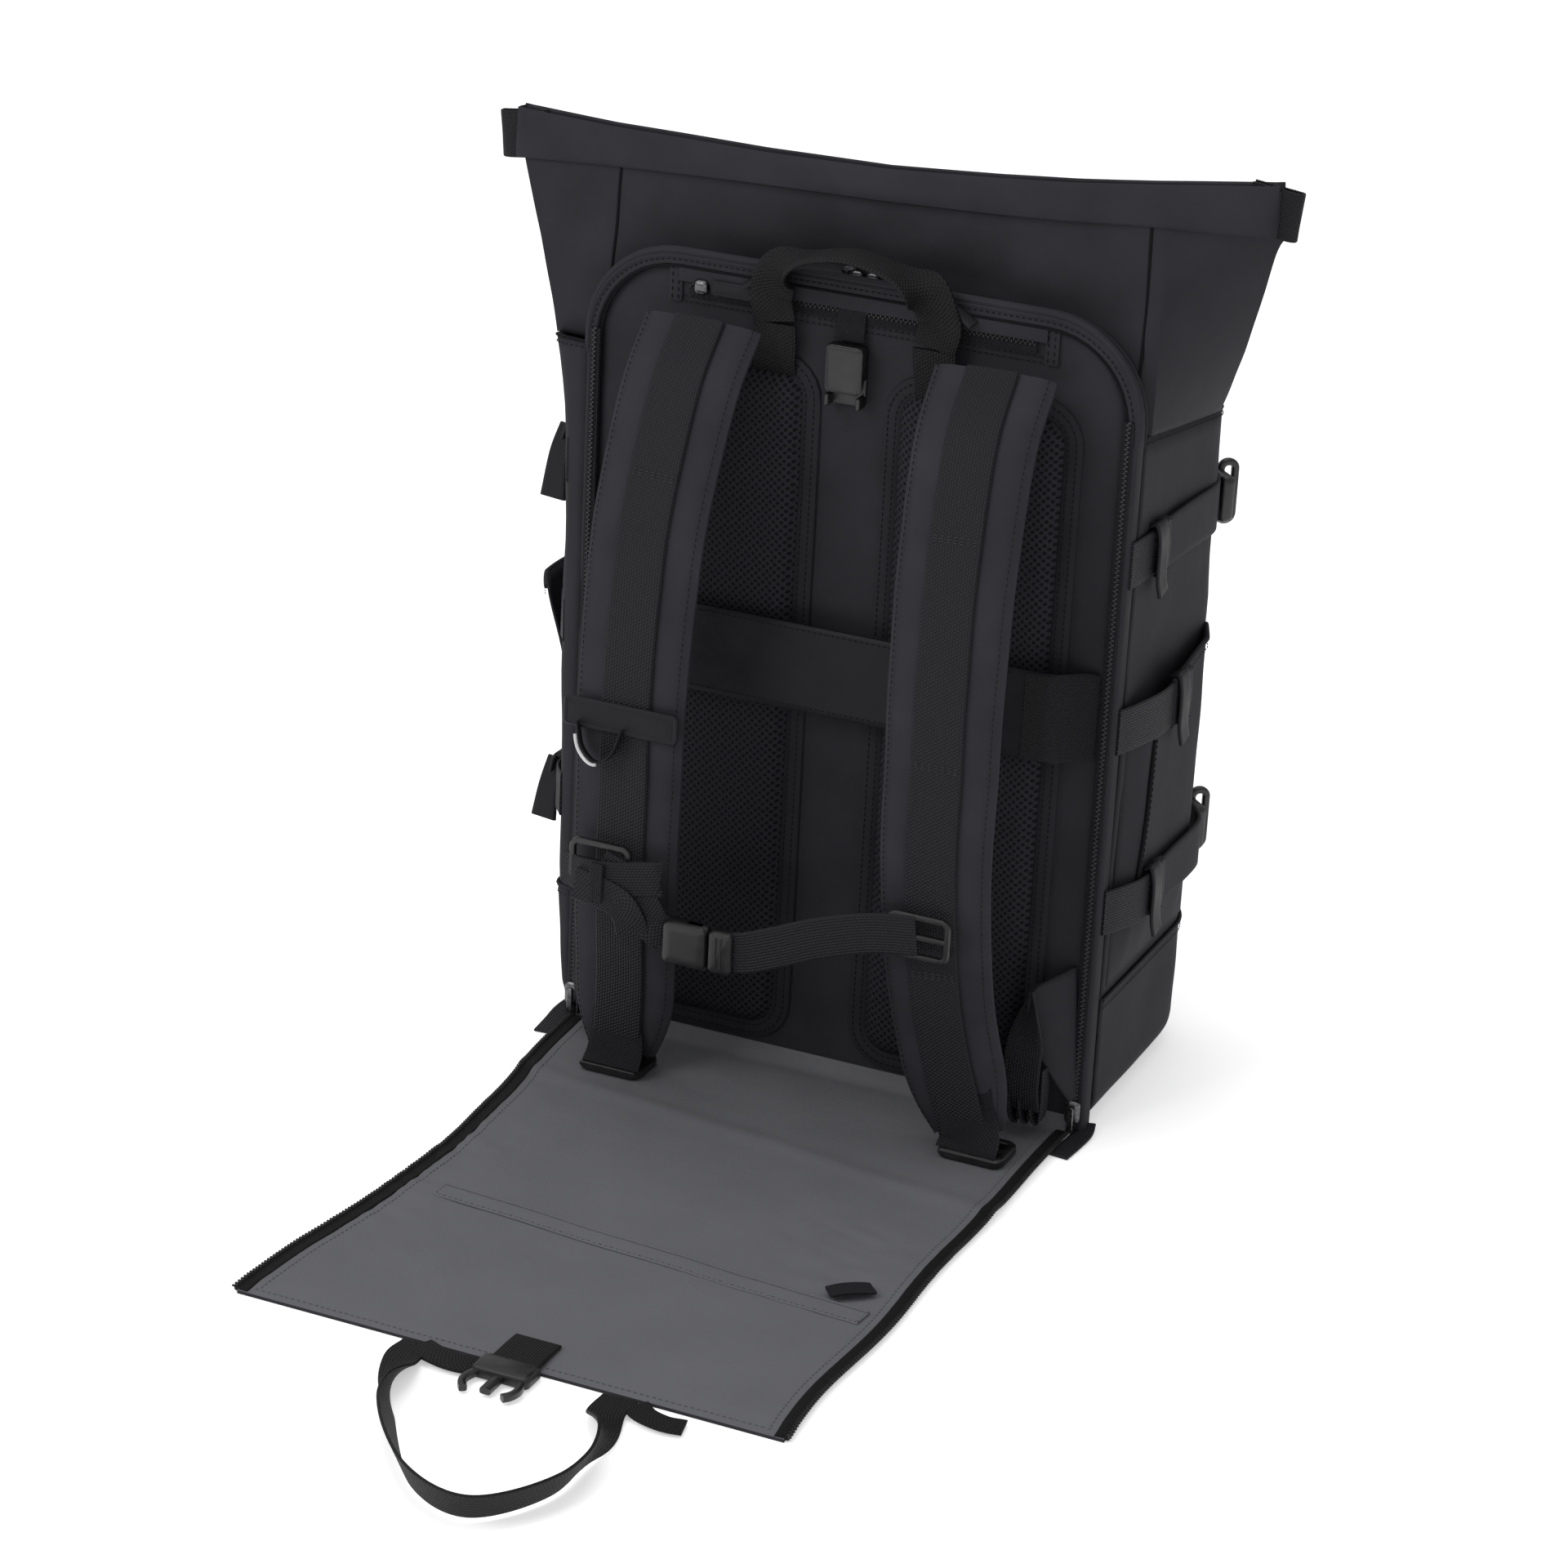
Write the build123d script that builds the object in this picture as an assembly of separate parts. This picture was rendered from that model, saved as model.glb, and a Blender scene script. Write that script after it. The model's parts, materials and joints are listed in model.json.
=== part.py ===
from build123d import *
import os
from math import cos, sin, radians

# Travel backpack with a roll-top and a zip-off back cover, standing on its base with the cover open.
# Millimetres. +Z is up, -Y is the side worn against the back, +X is the wearer's right-hand side.
# The origin is the middle of the base, on the floor.

# Driving dimensions
HALF_WIDTH = 160.0
BACK_Y = -90.0              # outer face of the back panel
FRONT_Y = 85.0              # outer face of the front panel
CORNER_RADIUS = 50.0        # vertical front corners
FABRIC = 2.0                # coated fabric with its lining
THIN_FABRIC = 1.5
WEBBING = 1.8
BOOT_TOP = 77.0             # seam between the boot and the walls
SEAM_BACK_Z = 402.0         # neck seam, at the back
SEAM_FRONT_Z = 378.0        # neck seam, at the front
PANEL_TOP = 455.0
PANEL_HALF = 152.0
RIM_WIDTH = 8.0
COLLAR_HALF = 218.0
COLLAR_Z = 498.0            # lower edge of the collar at x = 0
COLLAR_SLOPE = 21.2 / 436.0  # the collar stands a little crooked
COLLAR_HEIGHT = 30.0
COLLAR_BACK_Y = -70.5
COLLAR_FRONT_Y = -61.0
PAD_FACE_Y = -99.0
SLEEVE_FACE_Y = -107.0
STRAP_WIDTH = 68.0
STRAP_THICKNESS = 11.0
WEBBING_WIDTH = 28.0
COVER_HALF = 152.0
COVER_CREASE_Y = -189.75
COVER_END_Y = -474.0
COVER_THICKNESS = 2.0
GAP = 0.3                   # running gap between separate pieces

BACKWALL_Y = -80.7          # rear edge of the side walls
WALL_SPLIT = 145.4          # x of the seams between the front and the sides
NECK_SPLIT = 150.0          # x of the seams between the neck gussets and panels

parts = {}


def block(x, y, z):
    """A box from its lowest and highest x, y and z."""
    size = Box(x[1] - x[0], y[1] - y[0], z[1] - z[0])
    return Pos((x[0] + x[1]) / 2, (y[0] + y[1]) / 2, (z[0] + z[1]) / 2) * size


def mirrored(shape):
    """The same piece on the other side of the bag."""
    return mirror(shape, about=Plane.YZ)


def side_range(side, near, far):
    """An x range that lies between near and far on one side of the bag."""
    return (near, far) if side > 0 else (-far, -near)


def prism(points, direction):
    """A flat outline, pushed along a vector."""
    outline = Face(Wire.make_polygon([Vector(*p) for p in points], close=True))
    return Solid.extrude(outline, Vector(*direction))


def rounded_plate(x, y, z, radius):
    """An upright plate, facing Y, with four rounded corners."""
    plate = block(x, y, z)
    return fillet(plate.edges().filter_by(Axis.Y), radius)


def ribbon(curve, across, width, thickness, lift=0.0, stations=12):
    """A strip of webbing along a curve. across(t) gives the direction of its width."""
    sections = []
    for step in range(stations + 1):
        t = step / stations
        wide = across(t).normalized()
        normal = (curve % t).cross(wide).normalized()
        centre = (curve @ t) + normal * lift
        half = width(t) / 2
        corners = [
            centre + wide * half + normal * thickness / 2,
            centre - wide * half + normal * thickness / 2,
            centre - wide * half - normal * thickness / 2,
            centre + wide * half - normal * thickness / 2,
        ]
        sections.append(Wire.make_polygon(corners, close=True))
    return Solid.make_loft(sections, ruled=True)


def quarter_turns(t, start, end):
    """A webbing loop's twist in degrees: 0 at one foot, 90 along its middle, 180 at the other foot."""
    if t > 0.5:
        return 180 - quarter_turns(1 - t, start, end)
    return 90 * min(max((t - start) / (end - start), 0), 1)


def seam_z(y):
    """Height of the neck seam, which drops towards the front."""
    return SEAM_BACK_Z + (y - BACK_Y) * (SEAM_FRONT_Z - SEAM_BACK_Z) / (FRONT_Y - BACK_Y)


def collar_z(x):
    """Height of the collar's lower edge."""
    return COLLAR_Z + COLLAR_SLOPE * x


def bag_outline(inset, z0, z1):
    """The bag's plan, with round front corners, as a solid."""
    half = HALF_WIDTH - inset
    solid = block((-half, half), (BACKWALL_Y - (60 if inset else 0), FRONT_Y - inset), (z0, z1))
    front_edges = solid.edges().filter_by(Axis.Z).sort_by(Axis.Y)[-2:]
    return fillet(front_edges, CORNER_RADIUS - inset)


def bag_wall(z0, z1):
    """The fabric wall round the two sides and the front."""
    return bag_outline(0, z0, z1) - bag_outline(FABRIC, z0 - 1, z1 + 1)


def make_base():
    base_inset = FABRIC + GAP
    plan = bag_outline(base_inset, 0, 3.0)
    parts["base_panel"] = plan & block((-200, 200), (-84, 100), (-1, 10))
    inner = bag_outline(base_inset + 3, 3.0 + GAP, 5.3)
    parts["base_stiffener"] = inner & block((-200, 200), (-66, 100), (0, 10))
    parts["boot_band"] = bag_wall(0, BOOT_TOP)


def make_walls():
    wall = bag_wall(BOOT_TOP + GAP, SEAM_BACK_Z)
    ahead = FRONT_Y + 5
    under_seam = prism(
        [(-200, BACK_Y, 0), (-200, ahead, 0), (-200, ahead, seam_z(ahead)), (-200, BACK_Y, seam_z(BACK_Y))],
        (400, 0, 0),
    )
    wall = wall & under_seam
    parts["front_panel"] = wall & block((-WALL_SPLIT, WALL_SPLIT), (0, 100), (0, 500))
    side = wall & block((WALL_SPLIT + GAP, 200), (-100, 100), (0, 500))
    parts["side_panel_right"] = side
    parts["side_panel_left"] = mirrored(side)


def make_back_panel():
    panel = block((-PANEL_HALF, PANEL_HALF), (BACK_Y, BACK_Y + 6), (3.3, PANEL_TOP))
    top_edges = panel.edges().filter_by(Axis.Y).sort_by(Axis.Z)[-2:]
    parts["back_panel"] = fillet(top_edges, CORNER_RADIUS)

    rim_top = PANEL_TOP + 5
    outer = block((-HALF_WIDTH, HALF_WIDTH), (BACK_Y - 3, BACK_Y + 9), (3.3, rim_top))
    outer = fillet(outer.edges().filter_by(Axis.Y).sort_by(Axis.Z)[-2:], CORNER_RADIUS + 4)
    half = PANEL_HALF + GAP
    inner = block((-half, half), (BACK_Y - 10, BACK_Y + 20), (-50, PANEL_TOP + GAP))
    inner = fillet(inner.edges().filter_by(Axis.Y).sort_by(Axis.Z)[-2:], CORNER_RADIUS)
    parts["back_rim"] = outer - inner

    parts["frame_sheet"] = rounded_plate((-140, 140), (BACK_Y + 6.3, BACK_Y + 7.8), (10, 440), 40)
    parts["laptop_divider"] = rounded_plate((-150, 150), (-70, -67), (4, 396), 20)


def make_pads():
    face = (PAD_FACE_Y, BACK_Y - GAP)
    parts["back_pad_left"] = rounded_plate((-130, -20), face, (12, 416), 25)
    parts["back_pad_right"] = rounded_plate((16, 130), face, (12, 416), 25)


def make_trolley_sleeve():
    """A flat band that stands off the pads, with ends that slope back to the panel."""
    inner_y = SLEEVE_FACE_Y + FABRIC
    outline = [
        (-148.5, -91), (-148.5, -93), (-127, SLEEVE_FACE_Y), (127, SLEEVE_FACE_Y),
        (148.5, -93), (148.5, -91), (126, inner_y), (-126, inner_y),
    ]
    parts["trolley_sleeve"] = prism([(x, y, 220) for x, y in outline], (0, 0, 50))


def neck_ring(points, height):
    return Wire.make_polygon([Vector(x, y, height(x, y)) for x, y in points], close=True)


def both_sides(right_half):
    """Close an outline whose right half is given from the back to the front."""
    left_half = [(-x, y) for x, y in reversed(right_half)]
    return right_half + left_half


def make_neck():
    """A fabric tube from the bag's plan up to the flat mouth under the collar."""
    seam_outer = [(154, -80.5), (160, -76), (160, 35), (145, 70), (110, 85)]
    seam_inner = [(152.5, -79), (158.5, -75), (158.5, 34.5), (144, 68.8), (109.4, 83.5)]
    mouth_outer = [(154, -70.5), (213, -69), (217, -65.75), (213, -62.5), (154, -61)]
    mouth_inner = [(153, -69), (207.5, -67.6), (211.5, -65.75), (207.5, -63.9), (153, -62.5)]

    def seam_height(x, y):
        return seam_z(y) + GAP

    def mouth_height(x, y):
        return collar_z(x) - GAP

    solids = []
    for seam, mouth in ((seam_outer, mouth_outer), (seam_inner, mouth_inner)):
        rings = [neck_ring(both_sides(seam), seam_height), neck_ring(both_sides(mouth), mouth_height)]
        solids.append(Solid.make_loft(rings, ruled=True))
    tube = solids[0] - solids[1]

    middle = block((-NECK_SPLIT, NECK_SPLIT), (-200, 200), (300, 600))
    cut = -NECK_SPLIT
    behind = prism([(cut, -100, 370), (cut, -70, 370), (cut, -66, 520), (cut, -100, 520)], (-2 * cut, 0, 0))
    parts["neck_back"] = tube & behind
    parts["neck_front"] = (tube & middle) - behind
    parts["neck_right"] = tube & block((NECK_SPLIT + GAP, 300), (-200, 200), (300, 600))
    parts["neck_left"] = tube & block((-300, -NECK_SPLIT - GAP), (-200, 200), (300, 600))


def collar_outline(half, low, high):
    """The collar seen from behind: a band with a slight slope."""
    return [
        (-half, collar_z(-half) + low), (half, collar_z(half) + low),
        (half, collar_z(half) + high), (-half, collar_z(-half) + high),
    ]


def make_collar():
    low = collar_outline(COLLAR_HALF, 0, COLLAR_HEIGHT)
    depth = COLLAR_FRONT_Y - COLLAR_BACK_Y
    outer = prism([(x, COLLAR_BACK_Y, z) for x, z in low], (0, depth, 0))
    hollow = collar_outline(COLLAR_HALF - THIN_FABRIC, -5, COLLAR_HEIGHT + 5)
    inner_y = COLLAR_BACK_Y + THIN_FABRIC
    inner = prism([(x, inner_y, z) for x, z in hollow], (0, depth - 2 * THIN_FABRIC, 0))
    parts["roll_collar"] = outer - inner

    tabs = []
    for side in (-1, 1):
        z = collar_z(side * COLLAR_HALF) + 2.5
        x = side_range(side, COLLAR_HALF, COLLAR_HALF + 10)
        tabs.append(block(x, (COLLAR_BACK_Y - 0.5, COLLAR_FRONT_Y + 0.5), (z, z + 26)))
    parts["collar_tabs"] = Compound(children=tabs)


def strap_curve(side):
    """Centre line of a shoulder strap. The right strap's tip is splayed a little further out."""
    if side > 0:
        tip = [(100, -148, 60), (112, -143.5, 14)]
    else:
        tip = [(96, -148, 60), (99, -143.5, 14)]
    shoulder = [(84, -106, 428), (85, -133, 395), (88, -155, 330)]
    chest = [(90, -164, 250), (91, -164, 170), (93.5, -157, 110)]
    return Spline([Vector(side * x, y, z) for x, y, z in shoulder + chest + tip])


def make_shoulder_strap(side, label):
    curve = strap_curve(side)

    def across(t):
        return Vector(1, 0, 0)

    def strap_width(t):
        return STRAP_WIDTH - 8 * t

    def webbing_width(t):
        return WEBBING_WIDTH

    parts["shoulder_strap_" + label] = ribbon(curve, across, strap_width, STRAP_THICKNESS)
    lift = STRAP_THICKNESS / 2 + 0.1 + WEBBING / 2
    parts["strap_webbing_" + label] = ribbon(curve, across, webbing_width, WEBBING, lift)


def ladder_lock(x, y, z):
    """A flat buckle with two slots for the adjuster webbing."""
    body = block((x - 19, x + 19), (y - 15, y + 15), (z, z + 5.5))
    body = fillet(body.edges().filter_by(Axis.Z), 4)
    for slot_y in (y - 7, y + 6):
        body -= block((x - 15, x + 15), (slot_y - 2.5, slot_y + 2.5), (z - 1, z + 8))
    return body


def make_ladder_locks():
    parts["ladder_locks"] = Compound(children=[ladder_lock(-99, -146, 3), ladder_lock(119, -147, 3)])


def make_wings():
    """Corner gussets that take the strap's pull, each with its folded adjuster webbing."""
    sewn_and_free = [(148, -92, 30), (148, -92, 101), (134, -111, 92), (134, -111, 66)]
    wing = prism(sewn_and_free, (-2.5, 1.2, 0))
    parts["corner_wings"] = Compound(children=[wing, mirrored(wing)])

    folds = []
    for index in range(4):
        z = 24 + 10 * index
        folds.append(block((121, 146), (-124, -110), (z, z + 7)))
    spine = block((121, 146), (-112, -110), (24, 61))
    hank = Part() + folds + [spine]
    parts["adjuster_webbing"] = Compound(children=[hank, mirrored(hank)])


def make_strap_patch():
    patch = block((-126, -58), (-175.4, -173.6), (214, 231))
    parts["strap_patch"] = fillet(patch.edges().filter_by(Axis.Y), 3)


STERNUM_Y = -178.5
STERNUM_Z = 103.0
BUCKLE_X = -59.0
PRONG_TRAVEL = 2.2


def buckle_block(u, v, w):
    """A block in the sternum buckle: u along it, v across it, w through it."""
    x = (BUCKLE_X + u[0], BUCKLE_X + u[1])
    y = (STERNUM_Y + w[0], STERNUM_Y + w[1])
    z = (STERNUM_Z + v[0], STERNUM_Z + v[1])
    return block(x, y, z)


def make_sternum_buckle():
    shell = buckle_block((0, 27), (-13, 13), (-4.5, 4.5))
    shell = fillet(shell.edges().filter_by(Axis.X), 2)
    shell -= buckle_block((8, 40), (-10.5, 10.5), (-2.7, 2.7))
    shell -= buckle_block((11.6, 20.4), (-20, 20), (-2.7, 2.7))
    shell -= buckle_block((3, 5.5), (-10, 10), (-10, 10))
    parts["sternum_socket"] = shell

    plug = buckle_block((27.3, 42), (-12.5, 12.5), (-4, 4))
    plug = fillet(plug.edges().filter_by(Axis.X), 2)
    plug -= buckle_block((33, 36.5), (-10, 10), (-10, 10))
    plug += buckle_block((10, 28), (-2.6, 2.6), (-2.2, 2.2))
    parts["sternum_plug"] = plug

    prong = buckle_block((12.3, 19.7), (7.6, 12.8), (-2.2, 2.2))
    prong += buckle_block((19, 26.9), (7.6, 10), (-2.2, 2.2))
    parts["sternum_prong_upper"] = prong
    parts["sternum_prong_lower"] = mirror(prong, about=Plane.XY.offset(STERNUM_Z))


def make_sternum_straps():
    def upright(t):
        return Vector(0, 0, 1)

    def width(t):
        return 22.0

    right = Spline([Vector(-16.5, -178, 103), Vector(25, -181, 108), Vector(66, -178.5, 134)])
    parts["sternum_webbing_right"] = ribbon(right, upright, width, WEBBING, stations=6)
    left = Spline([Vector(-79, -179.5, 133), Vector(-69, -182, 120), Vector(-60, -179, 105)])
    parts["sternum_webbing_left"] = ribbon(left, upright, width, WEBBING, stations=4)
    sliders = []
    for x0, z0 in ((-118, 125), (70, 124)):
        slider = block((x0, x0 + 37), (-179.5, -174.5), (z0, z0 + 26))
        slider = fillet(slider.edges().filter_by(Axis.Y), 4)
        slider -= block((x0 + 6, x0 + 31), (-190, -170), (z0 + 14, z0 + 20))
        sliders.append(slider)
    parts["sternum_sliders"] = Compound(children=sliders)


def make_grab_handle():
    """A webbing arch: sewn flat at both feet, turned a quarter to lie flat in the hand."""
    right_half = [(46, -98.8, 434), (48, -99.8, 450), (37, -106, 468), (0, -109, 479)]
    points = right_half + [(-x, y, z) for x, y, z in reversed(right_half[:-1])]
    curve = Spline([Vector(*p) for p in points])

    def across(t):
        turn = radians(quarter_turns(t, 0.12, 0.38))
        return Vector(cos(turn), sin(turn), 0)

    def width(t):
        return 25.0

    parts["grab_handle"] = ribbon(curve, across, width, WEBBING, stations=20)


def make_hang_buckle():
    """The socket at the top of the panel, which the cover's plug clips into."""
    socket = block((-15, 6), (-101, -92), (393, 427))
    socket = fillet(socket.edges().filter_by(Axis.Z), 2.5)
    socket -= block((-12.2, 3.2), (-99.2, -93.8), (380, 415))
    socket -= block((-20, 20), (-99.2, -93.8), (400, 408))
    parts["hang_buckle"] = socket
    parts["hang_loop"] = block((-13, 4), (-94.5, -90.3), (428.2, 437.5))


def make_zip_tapes():
    tapes = []
    for side in (-1, 1):
        x = side_range(side, 151.5, 157.5)
        tapes.append(block(x, (-94.3, -93.0), (6, 411)))
    tapes.append(block((-100, 100), (-91.6, -90.0), (441, 447)))
    tapes.append(block((-104, 104), (-90, -84), (460.0, 461.3)))
    parts["zip_tapes"] = Compound(children=tapes)


def make_zip_sliders():
    for side, label in ((-1, "left"), (1, "right")):
        slider = block(side_range(side, 149.8, 158.2), (-98.2, -94.7), (8, 22))
        slider += block(side_range(side, 152, 156), (-100, -98.2), (3.4, 20))
        parts["cover_slider_" + label] = slider
        slider = block(side_range(side, 1, 8), (-91, -83), (461.6, 466))
        parts["laptop_slider_" + label] = slider
        puller = block(side_range(side, 10.2, 47), (-90, -84), (462, 464.4))
        parts["laptop_puller_" + label] = puller
    parts["access_slider"] = block((-96, -88), (-96.3, -92), (440, 448))
    parts["access_puller"] = block((-86, -61), (-96, -93.6), (441, 449))


def make_side_pockets():
    shell = block((160.2, 168), (-75, 45), (84, 258))
    hollow = block((150, 166.4), (-73, 43), (86, 300))
    pocket = shell - hollow
    parts["side_pocket_right"] = pocket
    parts["side_pocket_left"] = mirrored(pocket)


def make_side_straps():
    """Compression straps: one straight on the wall, one over the pocket."""
    upper = block((160.3, 162.1), (-79, 35), (319, 346))
    lower = block((168.3, 170.1), (-79, 45), (120, 146))
    straps = [upper, lower, mirrored(upper), mirrored(lower)]
    parts["side_straps"] = Compound(children=straps)


def make_compression_buckles():
    buckles = []
    for side in (-1, 1):
        for z in (325, 128):
            body = Box(9, 34, 28)
            body = fillet(body.edges().filter_by(Axis.Y), 2)
            buckles.append(Pos(side * 150, 75, z) * Rot(0, 0, side * 45) * body)
    parts["compression_buckles"] = Compound(children=buckles)


def make_front():
    pocket = block((-112, 112), (FRONT_Y + GAP, FRONT_Y + 12), (88, 330))
    pocket = fillet(pocket.edges().filter_by(Axis.Y), 22)
    parts["front_pocket"] = pocket
    parts["front_strap"] = block((-12.5, 12.5), (FRONT_Y + 12.3, FRONT_Y + 14.1), (170, 372))
    hook = block((-16, 16), (FRONT_Y + 12.5, FRONT_Y + 17.5), (140, 169.5))
    hook -= block((-12, 12), (FRONT_Y, FRONT_Y + 30), (146, 152))
    hook -= block((-12, 12), (FRONT_Y, FRONT_Y + 30), (158, 163))
    parts["front_hook"] = hook


def make_cover():
    """The cover lies on the floor. It creases across, and the part beyond the crease can be lifted."""
    side = (-COVER_HALF, COVER_HALF)
    thick = (0, COVER_THICKNESS)
    parts["cover_apron"] = block(side, (COVER_CREASE_Y + 0.25, BACK_Y - 1), thick)
    parts["cover_leaf"] = block(side, (COVER_END_Y, COVER_CREASE_Y - 0.25), thick)
    tabs = [block(side_range(s, 153, 163), (-128, -100), (0, 1.8)) for s in (-1, 1)]
    parts["base_tabs"] = Compound(children=tabs)

    parts["cover_tab"] = block((-6, 20), (COVER_END_Y, -456), (2.2, 3.8))
    plug = block((-9, 23), (-492, COVER_END_Y - 0.5), (0.8, 7))
    plug -= block((-5, 19), (-484, -480), (-1, 10))
    for x in (-7, 17):
        plug += block((x, x + 4), (-508, -491), (2, 6))
    plug += block((4, 10), (-506, -491), (2, 6))
    parts["cover_plug"] = plug
    parts["lining_slider"] = block((112, 134), (-334, -322), (2.4, 5))


def make_cover_handle():
    points = [
        (-45, -477, 1.3), (-43, -500, 4), (-24, -556, 10.8), (12, -601, 11),
        (50, -612, 11), (77, -575, 11), (78, -530, 10.8), (68, -497, 4), (66, -477, 1.3),
    ]
    curve = Spline([Vector(*p) for p in points])

    def across(t):
        turn = radians(quarter_turns(t, 0.03, 0.25))
        return Vector(cos(turn), 0, sin(turn))

    def width(t):
        return 20.0

    parts["cover_handle"] = ribbon(curve, across, width, WEBBING, stations=20)


def main():
    make_base()
    make_walls()
    make_back_panel()
    make_pads()
    make_trolley_sleeve()
    make_neck()
    make_collar()
    make_shoulder_strap(1, "right")
    make_shoulder_strap(-1, "left")
    make_ladder_locks()
    make_wings()
    make_strap_patch()
    make_sternum_buckle()
    make_sternum_straps()
    make_grab_handle()
    make_hang_buckle()
    make_zip_tapes()
    make_zip_sliders()
    make_side_pockets()
    make_side_straps()
    make_compression_buckles()
    make_front()
    make_cover()
    make_cover_handle()
    os.makedirs("parts", exist_ok=True)
    for name, shape in parts.items():
        export_step(shape, f"parts/{name}.step")


main()
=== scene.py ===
"""Looks of the roll-top travel backpack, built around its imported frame."""
import json
import math

import bmesh
import bpy
import numpy as np
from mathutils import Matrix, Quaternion, Vector, noise

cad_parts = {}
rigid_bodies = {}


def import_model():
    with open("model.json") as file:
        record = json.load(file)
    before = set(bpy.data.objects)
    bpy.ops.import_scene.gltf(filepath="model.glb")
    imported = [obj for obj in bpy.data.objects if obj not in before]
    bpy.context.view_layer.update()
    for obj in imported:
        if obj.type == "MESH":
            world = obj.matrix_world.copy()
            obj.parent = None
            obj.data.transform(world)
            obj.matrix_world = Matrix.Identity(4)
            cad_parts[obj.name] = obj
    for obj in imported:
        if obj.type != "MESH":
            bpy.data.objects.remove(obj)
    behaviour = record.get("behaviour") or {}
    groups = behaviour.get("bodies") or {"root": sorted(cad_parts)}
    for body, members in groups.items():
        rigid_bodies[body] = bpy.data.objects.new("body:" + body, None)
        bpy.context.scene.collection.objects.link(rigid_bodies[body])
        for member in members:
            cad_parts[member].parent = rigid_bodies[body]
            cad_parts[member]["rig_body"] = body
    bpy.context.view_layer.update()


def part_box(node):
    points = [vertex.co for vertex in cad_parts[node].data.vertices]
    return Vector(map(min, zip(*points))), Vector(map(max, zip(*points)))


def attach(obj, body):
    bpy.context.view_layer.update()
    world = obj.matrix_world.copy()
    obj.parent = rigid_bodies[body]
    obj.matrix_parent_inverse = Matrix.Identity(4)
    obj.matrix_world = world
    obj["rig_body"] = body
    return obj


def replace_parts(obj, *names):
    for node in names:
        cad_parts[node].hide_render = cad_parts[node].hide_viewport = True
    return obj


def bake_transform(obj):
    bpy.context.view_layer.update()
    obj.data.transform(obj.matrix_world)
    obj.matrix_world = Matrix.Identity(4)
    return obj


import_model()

# Everything below is in millimetres in the row's frame until add_mesh() turns it into metres.
MM = 0.001


def span(node):
    """Lowest and highest corner of a CAD node, in millimetres."""
    low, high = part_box(node)
    return np.array(low) / MM, np.array(high) / MM


PANEL_LOW, PANEL_HIGH = span("back_panel")
RIM_HIGH = span("back_rim")[1]
WALL_LOW, WALL_HIGH = span("front_panel")
SIDE_LOW, SIDE_HIGH = span("side_panel_right")
COLLAR_LOW, COLLAR_HIGH = span("roll_collar")
LEAF_LOW, LEAF_HIGH = span("cover_leaf")
APRON_HIGH = span("cover_apron")[1]
SLEEVE_LOW, SLEEVE_HIGH = span("trolley_sleeve")
PAD_LEFT = span("back_pad_left")
PAD_RIGHT = span("back_pad_right")

HALF = SIDE_HIGH[0]                 # half the bag's width
REAR_Y = SIDE_LOW[1]                # rear edge of the side walls
FRONT_Y = WALL_HIGH[1]
PANEL_Y = PANEL_LOW[1]              # outer face of the back panel
CORNER = 50.0                       # radius of the front corners
COLLAR_HALF = COLLAR_HIGH[0]
X_AXIS = np.array([1.0, 0.0, 0.0])
Y_AXIS = np.array([0.0, 1.0, 0.0])
Z_AXIS = np.array([0.0, 0.0, 1.0])


# ---------------------------------------------------------------- materials

def shader(name, tone, roughness, specular=0.35, metallic=0.0, sheen=0.0):
    """A principled material with its constant values set on the shader's own sockets."""
    material = bpy.data.materials.new(name)
    material.use_nodes = True
    bsdf = material.node_tree.nodes["Principled BSDF"]
    bsdf.inputs["Base Color"].default_value = (*tone, 1)
    bsdf.inputs["Roughness"].default_value = roughness
    bsdf.inputs["Specular IOR Level"].default_value = specular
    bsdf.inputs["Metallic"].default_value = metallic
    bsdf.inputs["Sheen Weight"].default_value = sheen
    bsdf.inputs["Sheen Roughness"].default_value = 0.5
    return material


def node(material, kind, **inputs):
    """Add a node and set or link its inputs, which are named with _ for a space."""
    tree = material.node_tree
    made = tree.nodes.new(kind)
    for key, value in inputs.items():
        if key in ("operation", "noise_dimensions", "voronoi_dimensions", "attribute_name", "invert"):
            setattr(made, key, value)
            continue
        numbered = key[0] == "i" and key[1:].isdigit()
        socket = made.inputs[int(key[1:])] if numbered else made.inputs[key.replace("_", " ")]
        if isinstance(value, bpy.types.NodeSocket):
            tree.links.new(value, socket)
        else:
            socket.default_value = value
    return made


def place_coords(material):
    """Position in millimetres in the piece's own frame."""
    coords = node(material, "ShaderNodeTexCoord").outputs["Object"]
    return node(material, "ShaderNodeVectorMath", operation="SCALE", Vector=coords,
                Scale=1000.0).outputs["Vector"]


def cloth_coords(material):
    """Position on the cloth in millimetres: x along it, y across it."""
    return node(material, "ShaderNodeAttribute", attribute_name="cloth").outputs["Vector"]


def split(material, vector):
    parts = node(material, "ShaderNodeSeparateXYZ", Vector=vector).outputs
    return parts["X"], parts["Y"], parts["Z"]


def maths(material, operation, a, b=0.0):
    return node(material, "ShaderNodeMath", operation=operation, i0=a, i1=b).outputs[0]


def wave(material, value, pitch):
    """A rounded rib every pitch, from 0 to 1."""
    turned = maths(material, "MULTIPLY", value, math.pi / pitch)
    return maths(material, "ABSOLUTE", maths(material, "SINE", turned))


def noise_value(material, vector, scale, detail=3.0):
    return node(material, "ShaderNodeTexNoise", Vector=vector, Scale=scale, Detail=detail).outputs["Fac"]


def ramp(material, value, low, high, out_low, out_high):
    made = node(material, "ShaderNodeMapRange", Value=value, From_Min=low, From_Max=high, To_Min=out_low,
                To_Max=out_high)
    return made.outputs["Result"]


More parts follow.
